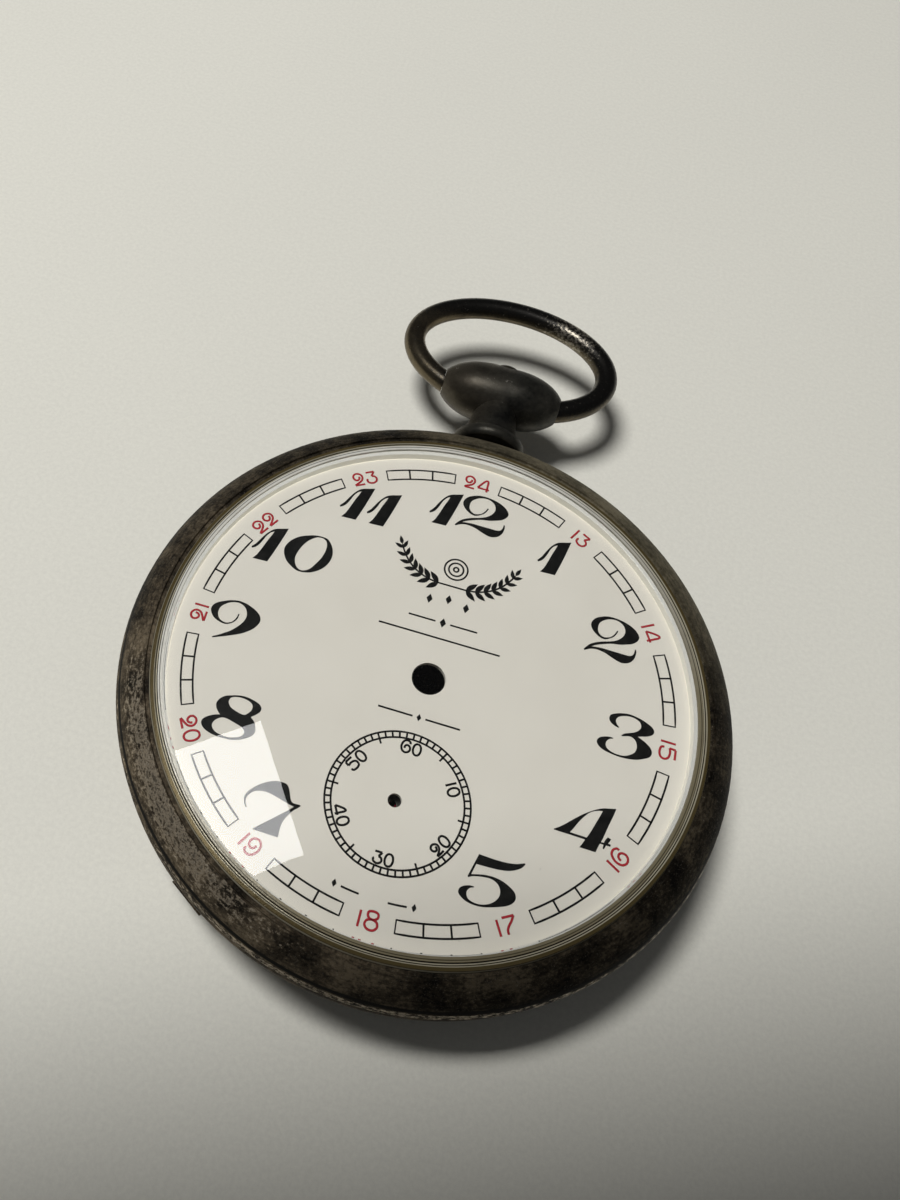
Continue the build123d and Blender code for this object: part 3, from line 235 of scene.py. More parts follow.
# Centre lines of the small digits, in mm at the size of the 24-hour figures.
THIN_DIGITS = {
    "0": [[(0.4, 1.2), (0.68, 1.05), (0.8, 0.6), (0.68, 0.15), (0.4, 0), (0.12, 0.15),
           (0, 0.6), (0.12, 1.05), (0.4, 1.2)]],
    "1": [[(0, 0), (0, 1.15)]],
    "2": [[(0.52, 0.86), (0.49, 0.68), (0.35, 0.53), (0.15, 0.56), (0.01, 0.76), (0.03, 1.0),
           (0.23, 1.16), (0.47, 1.16), (0.69, 1.0), (0.77, 0.76), (0.67, 0.48), (0.39, 0.27),
           (0.11, 0.13), (0, 0.04)],
          [(0, 0.03), (0.83, 0.03)]],
    "3": [[(0.04, 1.12), (0.75, 1.12)],
          [(0.75, 1.12), (0.46, 0.7)],
          [(0.46, 0.7), (0.71, 0.61), (0.83, 0.37), (0.71, 0.11), (0.4, 0), (0.08, 0.13),
           (0, 0.37), (0.08, 0.46)]],
    "4": [[(0, 0.26), (0.28, 0.71), (0.54, 1.06), (0.72, 1.15), (0.8, 0.98), (0.8, 0.6), (0.8, 0)],
          [(0, 0.26), (0.99, 0.24)]],
    "5": [[(0.86, 1.2), (0.06, 1.2)],
          [(0.06, 1.2), (0.02, 0.73)],
          [(0.02, 0.73), (0.38, 0.8), (0.78, 0.71), (0.96, 0.44), (0.86, 0.12), (0.5, 0),
           (0.1, 0.08), (0, 0.32)]],
    "6": [[(0.82, 0.98), (0.79, 1.17), (0.52, 1.3), (0.2, 1.19), (0.02, 0.85), (0, 0.48),
           (0.16, 0.14), (0.48, 0), (0.79, 0.14), (0.91, 0.42), (0.79, 0.72), (0.54, 0.8),
           (0.36, 0.66), (0.32, 0.42)]],
    "7": [[(0, 1.18), (0.88, 1.18)],
          [(0.88, 1.18), (0.62, 0.83), (0.32, 0.52), (0.18, 0.28), (0.16, 0)]],
    "8": [[(0.49, 1.3), (0.8, 1.21), (0.85, 0.96), (0.69, 0.78), (0.49, 0.73), (0.27, 0.78),
           (0.12, 0.96), (0.16, 1.21), (0.49, 1.3)],
          [(0.49, 0.73), (0.83, 0.62), (0.93, 0.32), (0.75, 0.07), (0.49, 0), (0.21, 0.07),
           (0.03, 0.32), (0.14, 0.62), (0.49, 0.73)]],
    "9": [[(0.09, 0.32), (0.12, 0.13), (0.39, 0), (0.71, 0.11), (0.89, 0.45), (0.91, 0.82),
           (0.75, 1.16), (0.43, 1.3), (0.12, 1.16), (0, 0.88), (0.12, 0.58), (0.37, 0.5),
           (0.55, 0.64), (0.59, 0.88)]],
}


# ---------------------------------------------------------------- curves and meshes
def smooth(run, steps=6):
    """Points of a smooth curve through a run's points; a run that ends where it starts is a ring."""
    if len(run) == 2:
        return [Vector(p) for p in run]
    ring = run[0] == run[-1]
    points = [Vector(p) for p in run]
    before = points[-2] if ring else 2 * points[0] - points[1]
    after = points[1] if ring else 2 * points[-1] - points[-2]
    guides = [before] + points + [after]
    made = []
    for index in range(1, len(guides) - 2):
        a, b, c, d = guides[index - 1:index + 3]
        for step in range(steps):
            t = step / steps
            made.append(0.5 * (2 * b + (c - a) * t + (2 * a - 5 * b + 4 * c - d) * t ** 2
                               + (3 * b - a - 3 * c + d) * t ** 3))
    return made + [points[-1]]


def outline_points(runs):
    """One closed outline from its runs."""
    made = []
    for run in runs:
        made += smooth(run)[:-1]
    return made


def turned(point, degrees, centre=(0, 0)):
    """A point turned anticlockwise about the origin, then moved to a centre."""
    a = math.radians(degrees)
    x = point[0] * math.cos(a) - point[1] * math.sin(a)
    y = point[0] * math.sin(a) + point[1] * math.cos(a)
    return x + centre[0], y + centre[1]


def arc(radius, start, stop, centre=(0, 0), step=1.5):
    """Points along an arc; angles are clockwise from the top, in degrees."""
    count = max(2, round(abs(stop - start) / step))
    spots = [math.radians(start + (stop - start) * i / count) for i in range(count + 1)]
    return [(centre[0] + radius * math.sin(a), centre[1] + radius * math.cos(a)) for a in spots]


def add_spline(curve, points, closed):
    spline = curve.splines.new("POLY")
    spline.points.add(len(points) - 1)
    for spot, point in zip(spline.points, points):
        spot.co = (point[0] * MM, point[1] * MM, 0, 1)
    spline.use_cyclic_u = closed


def print_on_dial(name, curve, flatten):
    """Turns a curve in the dial's plane into a thin mesh of ink on the dial's face."""
    maker = bpy.data.objects.new(name + "_curve", curve)
    bpy.context.scene.collection.objects.link(maker)
    graph = bpy.context.evaluated_depsgraph_get()
    mesh = bpy.data.meshes.new_from_object(maker.evaluated_get(graph))
    bpy.data.objects.remove(maker)
    lift = Matrix.Translation((0, 0, (DIAL_FACE_Z + 0.4 * PRINT_HEIGHT) * MM))
    turn = Matrix.Rotation(math.radians(PRINT_TURN), 4, "Z")
    mesh.transform(lift @ turn @ Matrix.Diagonal((1, 1, flatten, 1)))
    mesh.name = name
    piece = bpy.data.objects.new(name, mesh)
    bpy.context.scene.collection.objects.link(piece)
    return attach(piece, "case")


def filled_print(name, outlines):
    """Ink that fills closed outlines; an outline inside another is a hole."""
    curve = bpy.data.curves.new(name, "CURVE")
    curve.dimensions = "2D"
    curve.fill_mode = "BOTH"
    curve.extrude = PRINT_HEIGHT / 2 * MM
    for points in outlines:
        add_spline(curve, points, True)
    return print_on_dial(name, curve, 1)


def line_print(name, lines, width):
    """Ink lines of one width with rounded ends; each line is (points, closed)."""
    curve = bpy.data.curves.new(name, "CURVE")
    curve.dimensions = "3D"
    curve.bevel_depth = width / 2 * MM
    curve.bevel_resolution = 1
    curve.use_fill_caps = True
    for points, closed in lines:
        add_spline(curve, points, closed)
    return print_on_dial(name, curve, PRINT_HEIGHT / width)


# ---------------------------------------------------------------- dial print
def thin_figure(text, centre, turn, size):
    """Centre lines of a small number, upright at turn 0."""
    gap, cursor, strokes = 0.28, 0.0, []
    for digit in text:
        wide = max(x for run in THIN_DIGITS[digit] for x, _ in run)
        bearing = 0.13 if digit == "1" else 0.0
        cursor += bearing
        for run in THIN_DIGITS[digit]:
            strokes.append([(x + cursor, y) for x, y in smooth(run, 4)])
        cursor += wide + bearing + gap
    middle = (cursor - gap) / 2
    placed = []
    for stroke in strokes:
        scaled = [((x - middle) * size, (y - 0.62) * size) for x, y in stroke]
        placed.append(([turned(p, turn, centre) for p in scaled], False))
    return placed


def ring_figures(texts, radius, centre, upside, size):
    """Numbers spaced round a ring from the top; those in upside read from the rim."""
    made = []
    for index, text in enumerate(texts):
        angle = 360 * index / len(texts)
        spot = arc(radius, angle, angle + 1, centre)[0]
        turn = 180 - angle if text in upside else -angle
        made += thin_figure(text, spot, turn, size)
    return made


def hour_outlines():
    made = []
    for digit, left, low in HOUR_PLACES:
        for runs in HOUR_DIGITS[digit]:
            made.append([(x + left, y + low) for x, y in outline_points(runs)])
    return made


def minute_track():
    """Twelve boxes of three cells between the hours."""
    outer, inner = 19.1, 18.18
    made = []
    for hour in range(12):
        start, stop = 30 * hour + 6, 30 * hour + 24
        box = arc(outer, start, stop) + arc(inner, stop, start)
        made.append((box, True))
        for angle in (start + 6, start + 12):
            made.append(([arc(outer, angle, angle + 1)[0], arc(inner, angle, angle + 1)[0]], False))
    return made


def seconds_track():
    """Two circles, sixty cells and six longer marks."""
    outer, inner, long_end = 5.36, 4.9, 4.5
    made = [(arc(radius, 0, 360, SECONDS_CENTRE)[:-1], True) for radius in (outer, inner)]
    for second in range(60):
        angle = 6 * second
        end = long_end if second % 10 == 5 else inner
        ends = [arc(radius, angle, angle + 1, SECONDS_CENTRE)[0] for radius in (outer, end)]
        made.append((ends, False))
    return made


def leaf(at, heading, length):
    """A pointed leaf from its root, as a closed outline."""
    side = [(0, 0), (0.3, 0.17), (0.62, 0.16), (1, 0)]
    other = [(1, 0), (0.62, -0.16), (0.3, -0.17), (0, 0)]
    points = outline_points([side, other])
    return [turned((x * length, y * length), heading, at) for x, y in points]


def diamond(at, size):
    corners = [(0, 1), (0.6, 0), (0, -1), (-0.6, 0)]
    return [(at[0] + x * size, at[1] + y * size) for x, y in corners]


def laurel_stem(side, t):
    """A point of a laurel stem, t from 0 at its root to 1, and the stem's heading in degrees."""
    root, bend, tip = (0.55, 8.35), (3.5, 8.2), (4.75, 10.9)
    x, y = (root[i] * (1 - t) ** 2 + 2 * bend[i] * t * (1 - t) + tip[i] * t * t for i in (0, 1))
    across, up = ((bend[i] - root[i]) * (1 - t) + (tip[i] - bend[i]) * t for i in (0, 1))
    return (side * x, y), math.degrees(math.atan2(up, side * across))


def ornament_fills():
    """Leaves of a plain laurel ornament above the centre, and small diamonds."""
    made = [diamond(at, 0.42) for at in ((-1.5, 6.75), (0, 7.1), (1.5, 6.75), (0, 4.95))]
    made += [diamond(at, 0.3) for at in ((0, -3.3), (-2.9, -16.95), (2.9, -16.95))]
    for side in (-1, 1):
        for index in range(7):
            at, heading = laurel_stem(side, 0.1 + 0.14 * index)
            length = 1.2 - 0.06 * index
            made += [leaf(at, heading + spread, length) for spread in (-42, 42)]
        at, heading = laurel_stem(side, 1)
        made.append(leaf(at, heading, 0.85))
    return made


def ornament_lines():
    """Stems and ring of the laurel, and thin rules that divide the dial."""
    made = [(arc(radius, 0, 360, (0, 9.95), 8)[:-1], True) for radius in (0.95, 0.6, 0.2)]
    for side in (-1, 1):
        made.append(([laurel_stem(side, t / 12)[0] for t in range(13)], False))
        made.append(([(side * 0.6, 4.95), (side * 2.8, 4.95)], False))
        made.append(([(side * 0.5, -3.3), (side * 3.2, -3.3)], False))
        made.append((arc(17.2, 180 - side * 8, 180 - side * 3.5), False))
    made.append(([(-0.55, 8.35), (0.55, 8.35)], False))
    made.append(([(-4.9, 3.55), (4.9, 3.55)], False))
    return made


def add_dial_print(finishes):
    day = [str(hour) for hour in [24] + list(range(13, 24))]
    low_hours = {"16", "17", "18", "19", "20"}
    seconds = ["60", "10", "20", "30", "40", "50"]
    black_lines = minute_track() + ornament_lines() + seconds_track()
    seconds_figures = ring_figures(seconds, 4.25, SECONDS_CENTRE, {"20", "30", "40"}, 0.74)
    day_figures = ring_figures(day, 18.68, (0, 0), low_hours, 1.0)
    pieces = [
        (filled_print("dial_hours", hour_outlines()), "print_black"),
        (filled_print("dial_ornament", ornament_fills()), "print_black"),
        (line_print("dial_tracks", black_lines, 0.15), "print_black"),
        (line_print("dial_seconds", seconds_figures, 0.17), "print_black"),
        (line_print("dial_day_hours", day_figures, 0.18), "print_red"),
    ]
    for piece, slot in pieces:
        piece.data.materials.clear()
        piece.data.materials.append(finishes[slot])


# ---------------------------------------------------------------- finishes
class Finish:
    """A node material under construction, named after its slot in the record."""

    def __init__(self, slot):
        self.slot = slot
        self.material = bpy.data.materials.new(slot)
        self.material.use_nodes = True
        self.tree = self.material.node_tree
        self.shader = self.tree.nodes["Principled BSDF"]
        self.place = self.add("ShaderNodeTexCoord").outputs["Object"]

    def add(self, kind, **settings):
        node = self.tree.nodes.new(kind)
        for key, value in settings.items():
            setattr(node, key, value)
        return node

    def feed(self, socket, value):
        if isinstance(value, bpy.types.NodeSocket):
            self.tree.links.new(value, socket)
        else:
            socket.default_value = value

    def set(self, **values):
        """Shader inputs by name, with _ for a space; a value or another node's output."""
        for name, value in values.items():
            self.feed(self.shader.inputs[name.replace("_", " ")], value)

    def noise(self, scale, detail=6, roughness=0.6, place=None):
        node = self.add("ShaderNodeTexNoise")
        self.feed(node.inputs["Vector"], place or self.place)
        node.inputs["Scale"].default_value = scale
        node.inputs["Detail"].default_value = detail
        node.inputs["Roughness"].default_value = roughness
        return node.outputs["Fac"]

    def stretched(self, x, y, z):
        node = self.add("ShaderNodeMapping")
        self.feed(node.inputs["Vector"], self.place)
        node.inputs["Scale"].default_value = (x, y, z)
        return node.outputs["Vector"]

    def ramp(self, value, *stops):
        """Value through (position, grey or colour) stops.

        Cycles keeps a colour ramp as 256 steps, so the stops are first spread over all of them.
        """
        first, last = stops[0][0], stops[-1][0]
        span = self.add("ShaderNodeMapRange")
        self.feed(span.inputs["Value"], value)
        span.inputs["From Min"].default_value = first
        span.inputs["From Max"].default_value = last
        node = self.add("ShaderNodeValToRGB")
        self.feed(node.inputs["Fac"], span.outputs["Result"])
        elements = node.color_ramp.elements
        while len(elements) < len(stops):
            elements.new(1)
        for element, (position, colour) in zip(elements, stops):
            element.position = (position - first) / (last - first)
            element.color = (*colour, 1) if isinstance(colour, tuple) else (colour,) * 3 + (1,)
        return node.outputs["Color"]

    def mix(self, factor, a, b):
        node = self.add("ShaderNodeMix", data_type="RGBA")
        self.feed(node.inputs["Factor"], factor)
        for socket, value in ((node.inputs[6], a), (node.inputs[7], b)):
            self.feed(socket, (*value, 1) if isinstance(value, tuple) else value)
        return node.outputs[2]

    def above(self, height, low, rise):
        """0 up to a height given in mm, then 1 from rise mm higher."""
        return self.ramp(height, (low * MM, 0.0), ((low + rise) * MM, 1.0))

    def rings(self, radius, *stops):
        """Shades by a distance, with the stops' positions in mm."""
        return self.ramp(radius, *((at * MM, shade) for at, shade in stops))

    def math(self, operation, a, b=0.0):
        node = self.add("ShaderNodeMath", operation=operation)
        self.feed(node.inputs[0], a)
        self.feed(node.inputs[1], b)
        return node.outputs[0]

    def bump(self, height, strength, distance):
        node = self.add("ShaderNodeBump")
        self.feed(node.inputs["Height"], height)
        node.inputs["Strength"].default_value = strength
        node.inputs["Distance"].default_value = distance * MM
        self.set(Normal=node.outputs["Normal"])

    def radius(self):
        """Distance from the watch's axis, in metres."""
        flat = self.add("ShaderNodeVectorMath", operation="MULTIPLY")
        self.feed(flat.inputs[0], self.place)
        flat.inputs[1].default_value = (1, 1, 0)
        length = self.add("ShaderNodeVectorMath", operation="LENGTH")
        self.feed(length.inputs[0], flat.outputs[0])
        return length.outputs["Value"]

    def height(self):
        """Height above the back's flat, in metres."""
        node = self.add("ShaderNodeSeparateXYZ")
        self.feed(node.inputs[0], self.place)
        return node.outputs["Z"]

    def distance(self, x, y, z):
        """Distance from a point given in mm, in metres."""
        node = self.add("ShaderNodeVectorMath", operation="DISTANCE")
        self.feed(node.inputs[0], self.place)
        node.inputs[1].default_value = (x * MM, y * MM, z * MM)
        return node.outputs["Value"]

    def along_rim(self, stretch):
        """Place unrolled round the watch's axis, for marks drawn out along the rim."""
        parts = self.add("ShaderNodeSeparateXYZ")
        self.feed(parts.inputs[0], self.place)
        below = self.math("MULTIPLY", parts.outputs["Y"], -1.0)
        angle = self.math("ARCTAN2", parts.outputs["X"], below)
        unrolled = self.add("ShaderNodeCombineXYZ")
        self.feed(unrolled.inputs["X"], self.math("MULTIPLY", angle, RIM_RADIUS * MM * stretch))
        self.feed(unrolled.inputs["Y"], self.radius())
        self.feed(unrolled.inputs["Z"], parts.outputs["Z"])
        return unrolled.outputs["Vector"]

    def towards(self, x, y):
        """1 on the side of the watch that faces (x, y), -1 on the far side."""
        node = self.add("ShaderNodeVectorMath", operation="DOT_PRODUCT")
        unit = self.add("ShaderNodeVectorMath", operation="NORMALIZE")
        self.feed(unit.inputs[0], self.place)
        self.feed(node.inputs[0], unit.outputs[0])
        node.inputs[1].default_value = Vector((x, y, 0)).normalized()
        return node.outputs["Value"]


def case_oxide(f, blotch, crumbs, height):
    """The case's mottled tarnish, darkest in most places; a lighter copy on the bezel's far side is
    painted sheen, and a lighter brown copy toward the lower left is painted light.
    """
    mottle = f.math("MULTIPLY", blotch, crumbs)
    oxide = f.ramp(mottle, (0.34, (0.006, 0.005, 0.004)), (0.5, (0.03, 0.024, 0.016)),
                   (0.68, (0.10, 0.08, 0.052)))
    # Lighter copies of the same tarnish, laid on by side below as painted light.
    lit_brown = f.ramp(mottle, (0.34, (0.018, 0.015, 0.011)), (0.5, (0.10, 0.078, 0.052)),
                     (0.68, (0.24, 0.19, 0.125)))
    far_sheen_copy = f.ramp(mottle, (0.34, (0.10, 0.086, 0.055)), (0.68, (0.27, 0.235, 0.155)))
    # Painted sheen: the lighter copy on the bezel's far side.
    far_side = f.ramp(f.towards(0.5, 0.86), (0.6, 0.0), (0.95, 0.85))
    far_side_sheen = f.math("MULTIPLY", far_side, f.above(height, BEZEL_FOOT_Z, 1.2))
    # Painted light: the lighter brown copy toward the lower left.
    lit_brown_side = f.ramp(f.towards(-0.8, -0.6), (0.2, 0.0), (0.95, 1.0))
    return f.mix(lit_brown_side, f.mix(far_side_sheen, oxide, far_sheen_copy), lit_brown)


def case_wear(f, crumbs, radius, on_bezel):
    """1 where the case is rubbed to bare metal: grains at the lower left and along the near edge."""
    rubbed_side = f.ramp(f.towards(-0.72, -0.7), (0.68, 0.1), (0.93, 1.0))
    rubbed_band = f.rings(radius, (21.6, 0.0), (22.0, 0.28), (23.0, 0.24), (23.8, 0.09))
    near_side = f.ramp(f.towards(0.7, -0.7), (0.0, 0.25), (0.7, 1.0))
    edge = f.math("MULTIPLY", near_side, f.rings(radius, (23.98, 0.0), (24.02, 0.21)))
    rubbed_edge = f.math("MULTIPLY", on_bezel, edge)
    wear = f.math("ADD", f.math("MULTIPLY", crumbs, 0.5), f.math("MULTIPLY", rubbed_side, rubbed_band))
    return f.ramp(f.math("ADD", wear, rubbed_edge), (0.67, 0.0), (0.80, 1.0))


def turned_bezel(f, blotch, radius, height):
    """Colour of the bezel's turned inner part: a lip painted lighter on its lit side, a groove in it
    painted as shade, turned rings of gilt with painted highlights and painted shade between them, and
    a crystal seat painted near white as a reflection of the dial.
    """
    light, gilt, dark = (0.46, 0.42, 0.31), (0.085, 0.064, 0.026), (0.012, 0.010, 0.006)
    # Painted light: the lip is pale on its upper left side, toward the lamps, and dull brown on the
    # far side.
    lit_side = f.ramp(f.towards(-0.7, 0.7), (-0.5, 0.0), (0.5, 1.0))
    lip = f.mix(lit_side, (0.25, 0.215, 0.135), (0.80, 0.78, 0.70))
    # Painted highlights and painted shade: the light lines stand for lit ring edges and the dark lines
    # for shade between the rings; the gilt band is the metal's own colour.
    turned = f.rings(radius, (20.83, dark), (20.88, dark), (20.90, light), (20.96, light),
                     (20.98, dark), (21.03, dark), (21.05, light), (21.10, light), (21.13, gilt),
                     (21.37, gilt), (21.40, light), (21.45, light), (21.47, dark))
    # Painted shade in the lip's groove.
    groove = f.rings(radius, (20.62, 0.0), (20.65, 0.75), (20.69, 0.75), (20.72, 0.0))
    past_lip = f.rings(radius, (20.80, 0.0), (20.83, 1.0))
    rings = f.mix(past_lip, f.mix(groove, lip, dark), turned)
    stained = f.mix(f.ramp(blotch, (0.5, 0.0), (0.7, 0.25)), rings, (0.10, 0.082, 0.05))
    # Painted reflection: the wall under the crystal is painted near white so it reads as bright as the
    # dial beside it.
    seat = f.ramp(height, ((CRYSTAL_SEAT_Z - 0.02) * MM, 1.0), ((CRYSTAL_SEAT_Z + 0.02) * MM, 0.0))
    return f.mix(seat, stained, (0.95, 0.94, 0.88))


def tarnished_case():
    """Nickel silver under brown-black oxide, rubbed bare in places, with a turned inner bezel; painted
    light by side, painted highlights and shade on the bezel's rings, and a seat painted as a
    reflection of the dial.
    """
    f = Finish("case_nickel")
    blotch = f.noise(330, 5, 0.65)
    crumbs = f.math("ADD", f.noise(3900, 6, 0.7), f.noise(4600, 4, 0.6, f.along_rim(0.4)))
    fleck = f.ramp(f.noise(7500, 3, 0.75), (0.57, 0.0), (0.72, 1.0))
    radius = f.radius()
    height = f.height()
    on_bezel = f.above(height, BEZEL_FOOT_Z, 0.1)

    worn = case_wear(f, crumbs, radius, on_bezel)
    skin = case_oxide(f, blotch, crumbs, height)
    flecked = f.mix(f.math("MULTIPLY", fleck, 0.4), skin, (0.27, 0.245, 0.20))
    metal = f.mix(fleck, (0.50, 0.42, 0.31), (0.97, 0.89, 0.74))
    seam_line = f.rings(radius, (23.76, 0.0), (23.80, 1.0), (23.93, 1.0), (23.97, 0.0))
    seam = f.math("MULTIPLY", on_bezel, seam_line)
    outside = f.mix(seam, f.mix(worn, flecked, metal), (0.012, 0.011, 0.009))

    in_radius = f.rings(radius, (21.46, 1.0), (21.5, 0.0))
    in_rings = f.math("MULTIPLY", f.above(height, TURNED_FOOT_Z, 0.05), in_radius)
    shine = f.math("MAXIMUM", worn, f.math("MULTIPLY", fleck, 0.5))
    f.set(Base_Color=f.mix(in_rings, outside, turned_bezel(f, blotch, radius, height)),
          Metallic=f.mix(in_rings, f.math("MAXIMUM", worn, 0.6), (0.35, 0.35, 0.35)),
          Specular_IOR_Level=0.2,
          Roughness=f.mix(in_rings, f.ramp(shine, (0.0, 0.72), (1.0, 0.3)), (0.24, 0.24, 0.24)))
    f.bump(crumbs, 0.5, 0.02)
    return f


def blackened_head():
    """Nearly black pendant with a fine grain and small bright nicks, painted a lighter brown on its
    lower side as painted light.
    """
    f = Finish("dark_patina")
    blotch = f.noise(420, 5, 0.6)
    grain = f.noise(4200, 7, 0.75)
    oxide = f.ramp(blotch, (0.35, (0.018, 0.018, 0.016)), (0.62, (0.075, 0.07, 0.057)))
    # Painted light: a lighter brown on the pendant's lower side.
    lit_lower_side = f.ramp(f.towards(-0.25, 0.97), (0.93, 0.0), (0.97, 0.35))
    nicks = f.ramp(f.math("MULTIPLY", f.math("ADD", blotch, grain), 0.5), (0.59, 0.0), (0.66, 1.0))
    lit_brown = f.mix(lit_lower_side, oxide, (0.15, 0.12, 0.08))
    f.set(Base_Color=f.mix(nicks, lit_brown, (0.5, 0.46, 0.4)),
          Metallic=f.ramp(grain, (0.3, 0.65), (0.7, 0.95)),
          Roughness=f.ramp(grain, (0.3, 0.26), (0.7, 0.48)))
    f.bump(grain, 0.8, 0.03)
    return f


def worn_bow():
    """Brassy wire with worn specks, near black along its top as painted shade mottled with patina,
    less dark on the left arm, and a painted highlight on the right arm's crest.
    """
    f = Finish("bow_patina")
    blotch = f.noise(420, 5, 0.6)
    grain = f.noise(3600, 7, 0.75)
    brass = f.ramp(blotch, (0.35, (0.10, 0.08, 0.05)), (0.6, (0.20, 0.163, 0.104)))
    # Painted shade: the wire darkens toward its top, mottled by the grain.
    shade_by_height = f.ramp(f.height(), (5.2 * MM, 0.0), (6.6 * MM, 0.8))
    on_top = f.math("ADD", shade_by_height, f.math("SUBTRACT", grain, 0.5))
    left_arm = f.ramp(f.distance(-8.5, 34.5, 5.6), (3 * MM, 0.45), (6.5 * MM, 0.0))
    black = f.ramp(f.math("SUBTRACT", on_top, left_arm), (0.1, 0.1), (0.6, 1.0))
    brass_dark_on_top = f.mix(black, brass, (0.035, 0.033, 0.03))
    # Painted highlight: a bright mark on the right arm's crest, added to the worn specks.
    shoulder_highlight = f.ramp(f.distance(5.2, 39.8, 6.6), (1.2 * MM, 0.16), (4.2 * MM, 0.0))
    worn = f.ramp(f.math("ADD", grain, shoulder_highlight), (0.62, 0.0), (0.72, 0.9))
    f.set(Base_Color=f.mix(worn, brass_dark_on_top, (0.52, 0.47, 0.38)), Metallic=0.95,
          Roughness=f.ramp(grain, (0.3, 0.24), (0.7, 0.42)))
    f.bump(grain, 0.35, 0.02)
    return f


def dial_paint():
    """Silvery off-white lacquer with faint clouding, specks and hairlines."""
    f = Finish("dial_face")
    cloud = f.noise(120, 5, 0.6)
    speck = f.noise(3400, 2, 0.5)
    hair = f.noise(260, 2, 0.5, f.stretched(1, 0.06, 1))
    base = f.ramp(cloud, (0.3, (0.74, 0.705, 0.625)), (0.7, (0.78, 0.745, 0.665)))
    spotted = f.mix(f.ramp(speck, (0.74, 0.0), (0.80, 0.35)), base, (0.30, 0.26, 0.22))
    f.set(Base_Color=f.mix(f.ramp(hair, (0.70, 0.0), (0.76, 0.15)), spotted, (0.5, 0.47, 0.42)),
          Roughness=f.ramp(speck, (0.3, 0.5), (0.7, 0.62)), Specular_IOR_Level=0.15)
    f.bump(f.noise(5000, 3), 0.08, 0.01)
    return f


def ink(slot, low, high):
    """Printed enamel, a little uneven."""
    f = Finish(slot)
    patch = f.noise(1800, 5, 0.6)
    f.set(Base_Color=f.ramp(patch, (0.3, low), (0.7, high)), Specular_IOR_Level=0.2,
          Roughness=f.ramp(patch, (0.3, 0.28), (0.7, 0.45)))
    f.bump(f.noise(6000, 3), 0.1, 0.008)
    return f


def clear_crystal():
    """Domed acrylic with faint scratches."""
    f = Finish("crystal")
    scratch = f.noise(420, 3, 0.6, f.stretched(1, 0.05, 1))
    f.set(Base_Color=(0.985, 0.99, 0.98, 1), Transmission_Weight=1.0, IOR=1.49,
          Roughness=f.ramp(scratch, (0.55, 0.0), (0.8, 0.05)))
    f.bump(scratch, 0.03, 0.01)
    return f


def striped_nickel():
    """Nickel-plated bridges with broad dress stripes."""
    f = Finish("nickel_plate")
    wave = f.add("ShaderNodeTexWave", wave_type="BANDS", bands_direction="X")
    f.feed(wave.inputs["Vector"], f.place)
    wave.inputs["Scale"].default_value = 160
    fine = f.noise(900, 6, 0.6, f.stretched(1, 0.08, 1))
    cloud = f.noise(180, 4)
    f.set(Base_Color=f.ramp(cloud, (0.3, (0.60, 0.58, 0.53)), (0.7, (0.70, 0.68, 0.64))),
          Metallic=1.0, Roughness=f.ramp(wave.outputs["Fac"], (0.1, 0.2), (0.9, 0.36)))
    f.bump(f.math("ADD", fine, wave.outputs["Fac"]), 0.25, 0.01)
    return f


def turned_metal(slot, low, high, rough):
    """Lathe-turned metal with fine rings and staining, painted near black under the dial's holes as
    painted shade.
    """
    f = Finish(slot)
    stain = f.noise(600, 5, 0.6)
    rings = f.noise(2600, 4, 0.6, f.stretched(1, 1, 0.1))
    # Painted shade: near black where the movement shows through the dial's centre and seconds holes.
    hole_shade_centre = f.rings(f.distance(0, 0, UNDER_DIAL_Z), (1.9, 1.0), (2.5, 0.0))
    hole_shade_seconds = f.rings(f.distance(*SECONDS_CENTRE, UNDER_DIAL_Z), (1.2, 1.0), (1.8, 0.0))
    hole_shade = f.math("MAXIMUM", hole_shade_centre, hole_shade_seconds)
    clean = f.ramp(stain, (0.3, low), (0.7, high))
    f.set(Base_Color=f.mix(hole_shade, clean, (0.006, 0.005, 0.004)), Metallic=1.0,
          Roughness=f.ramp(rings, (0.3, rough), (0.7, rough + 0.16)))
    f.bump(rings, 0.2, 0.006)
    return f


def polished_ruby():
    f = Finish("ruby")
    cloud = f.noise(2400, 4, 0.5)
    f.set(Base_Color=f.ramp(cloud, (0.3, (0.42, 0.012, 0.05)), (0.7, (0.62, 0.03, 0.09))),
          Roughness=f.ramp(cloud, (0.3, 0.05), (0.7, 0.12)), IOR=1.76, Coat_Weight=0.5)
    f.bump(cloud, 0.03, 0.004)
    return f


def make_finishes():
    made = [
        tarnished_case(),
        blackened_head(),
        worn_bow(),
        dial_paint(),
        ink("print_black", (0.004, 0.004, 0.004), (0.012, 0.012, 0.011)),
        ink("print_red", (0.36, 0.02, 0.03), (0.46, 0.035, 0.045)),
        clear_crystal(),
        striped_nickel(),
        turned_metal("brass", (0.56, 0.38, 0.13), (0.72, 0.52, 0.22), 0.22),
        turned_metal("steel", (0.36, 0.36, 0.36), (0.52, 0.52, 0.51), 0.2),
        turned_metal("blued_steel", (0.015, 0.03, 0.16), (0.03, 0.06, 0.28), 0.16),
        polished_ruby(),
    ]
    return {f.slot: f.material for f in made}


# ---------------------------------------------------------------- setting
def flat_sheet(name, corners, material):
    mesh = bpy.data.meshes.new(name)
    mesh.from_pydata(corners, [], [(0, 1, 2, 3)])
    mesh.materials.append(material)
    sheet = bpy.data.objects.new(name, mesh)
    bpy.context.scene.collection.objects.link(sheet)
    return sheet


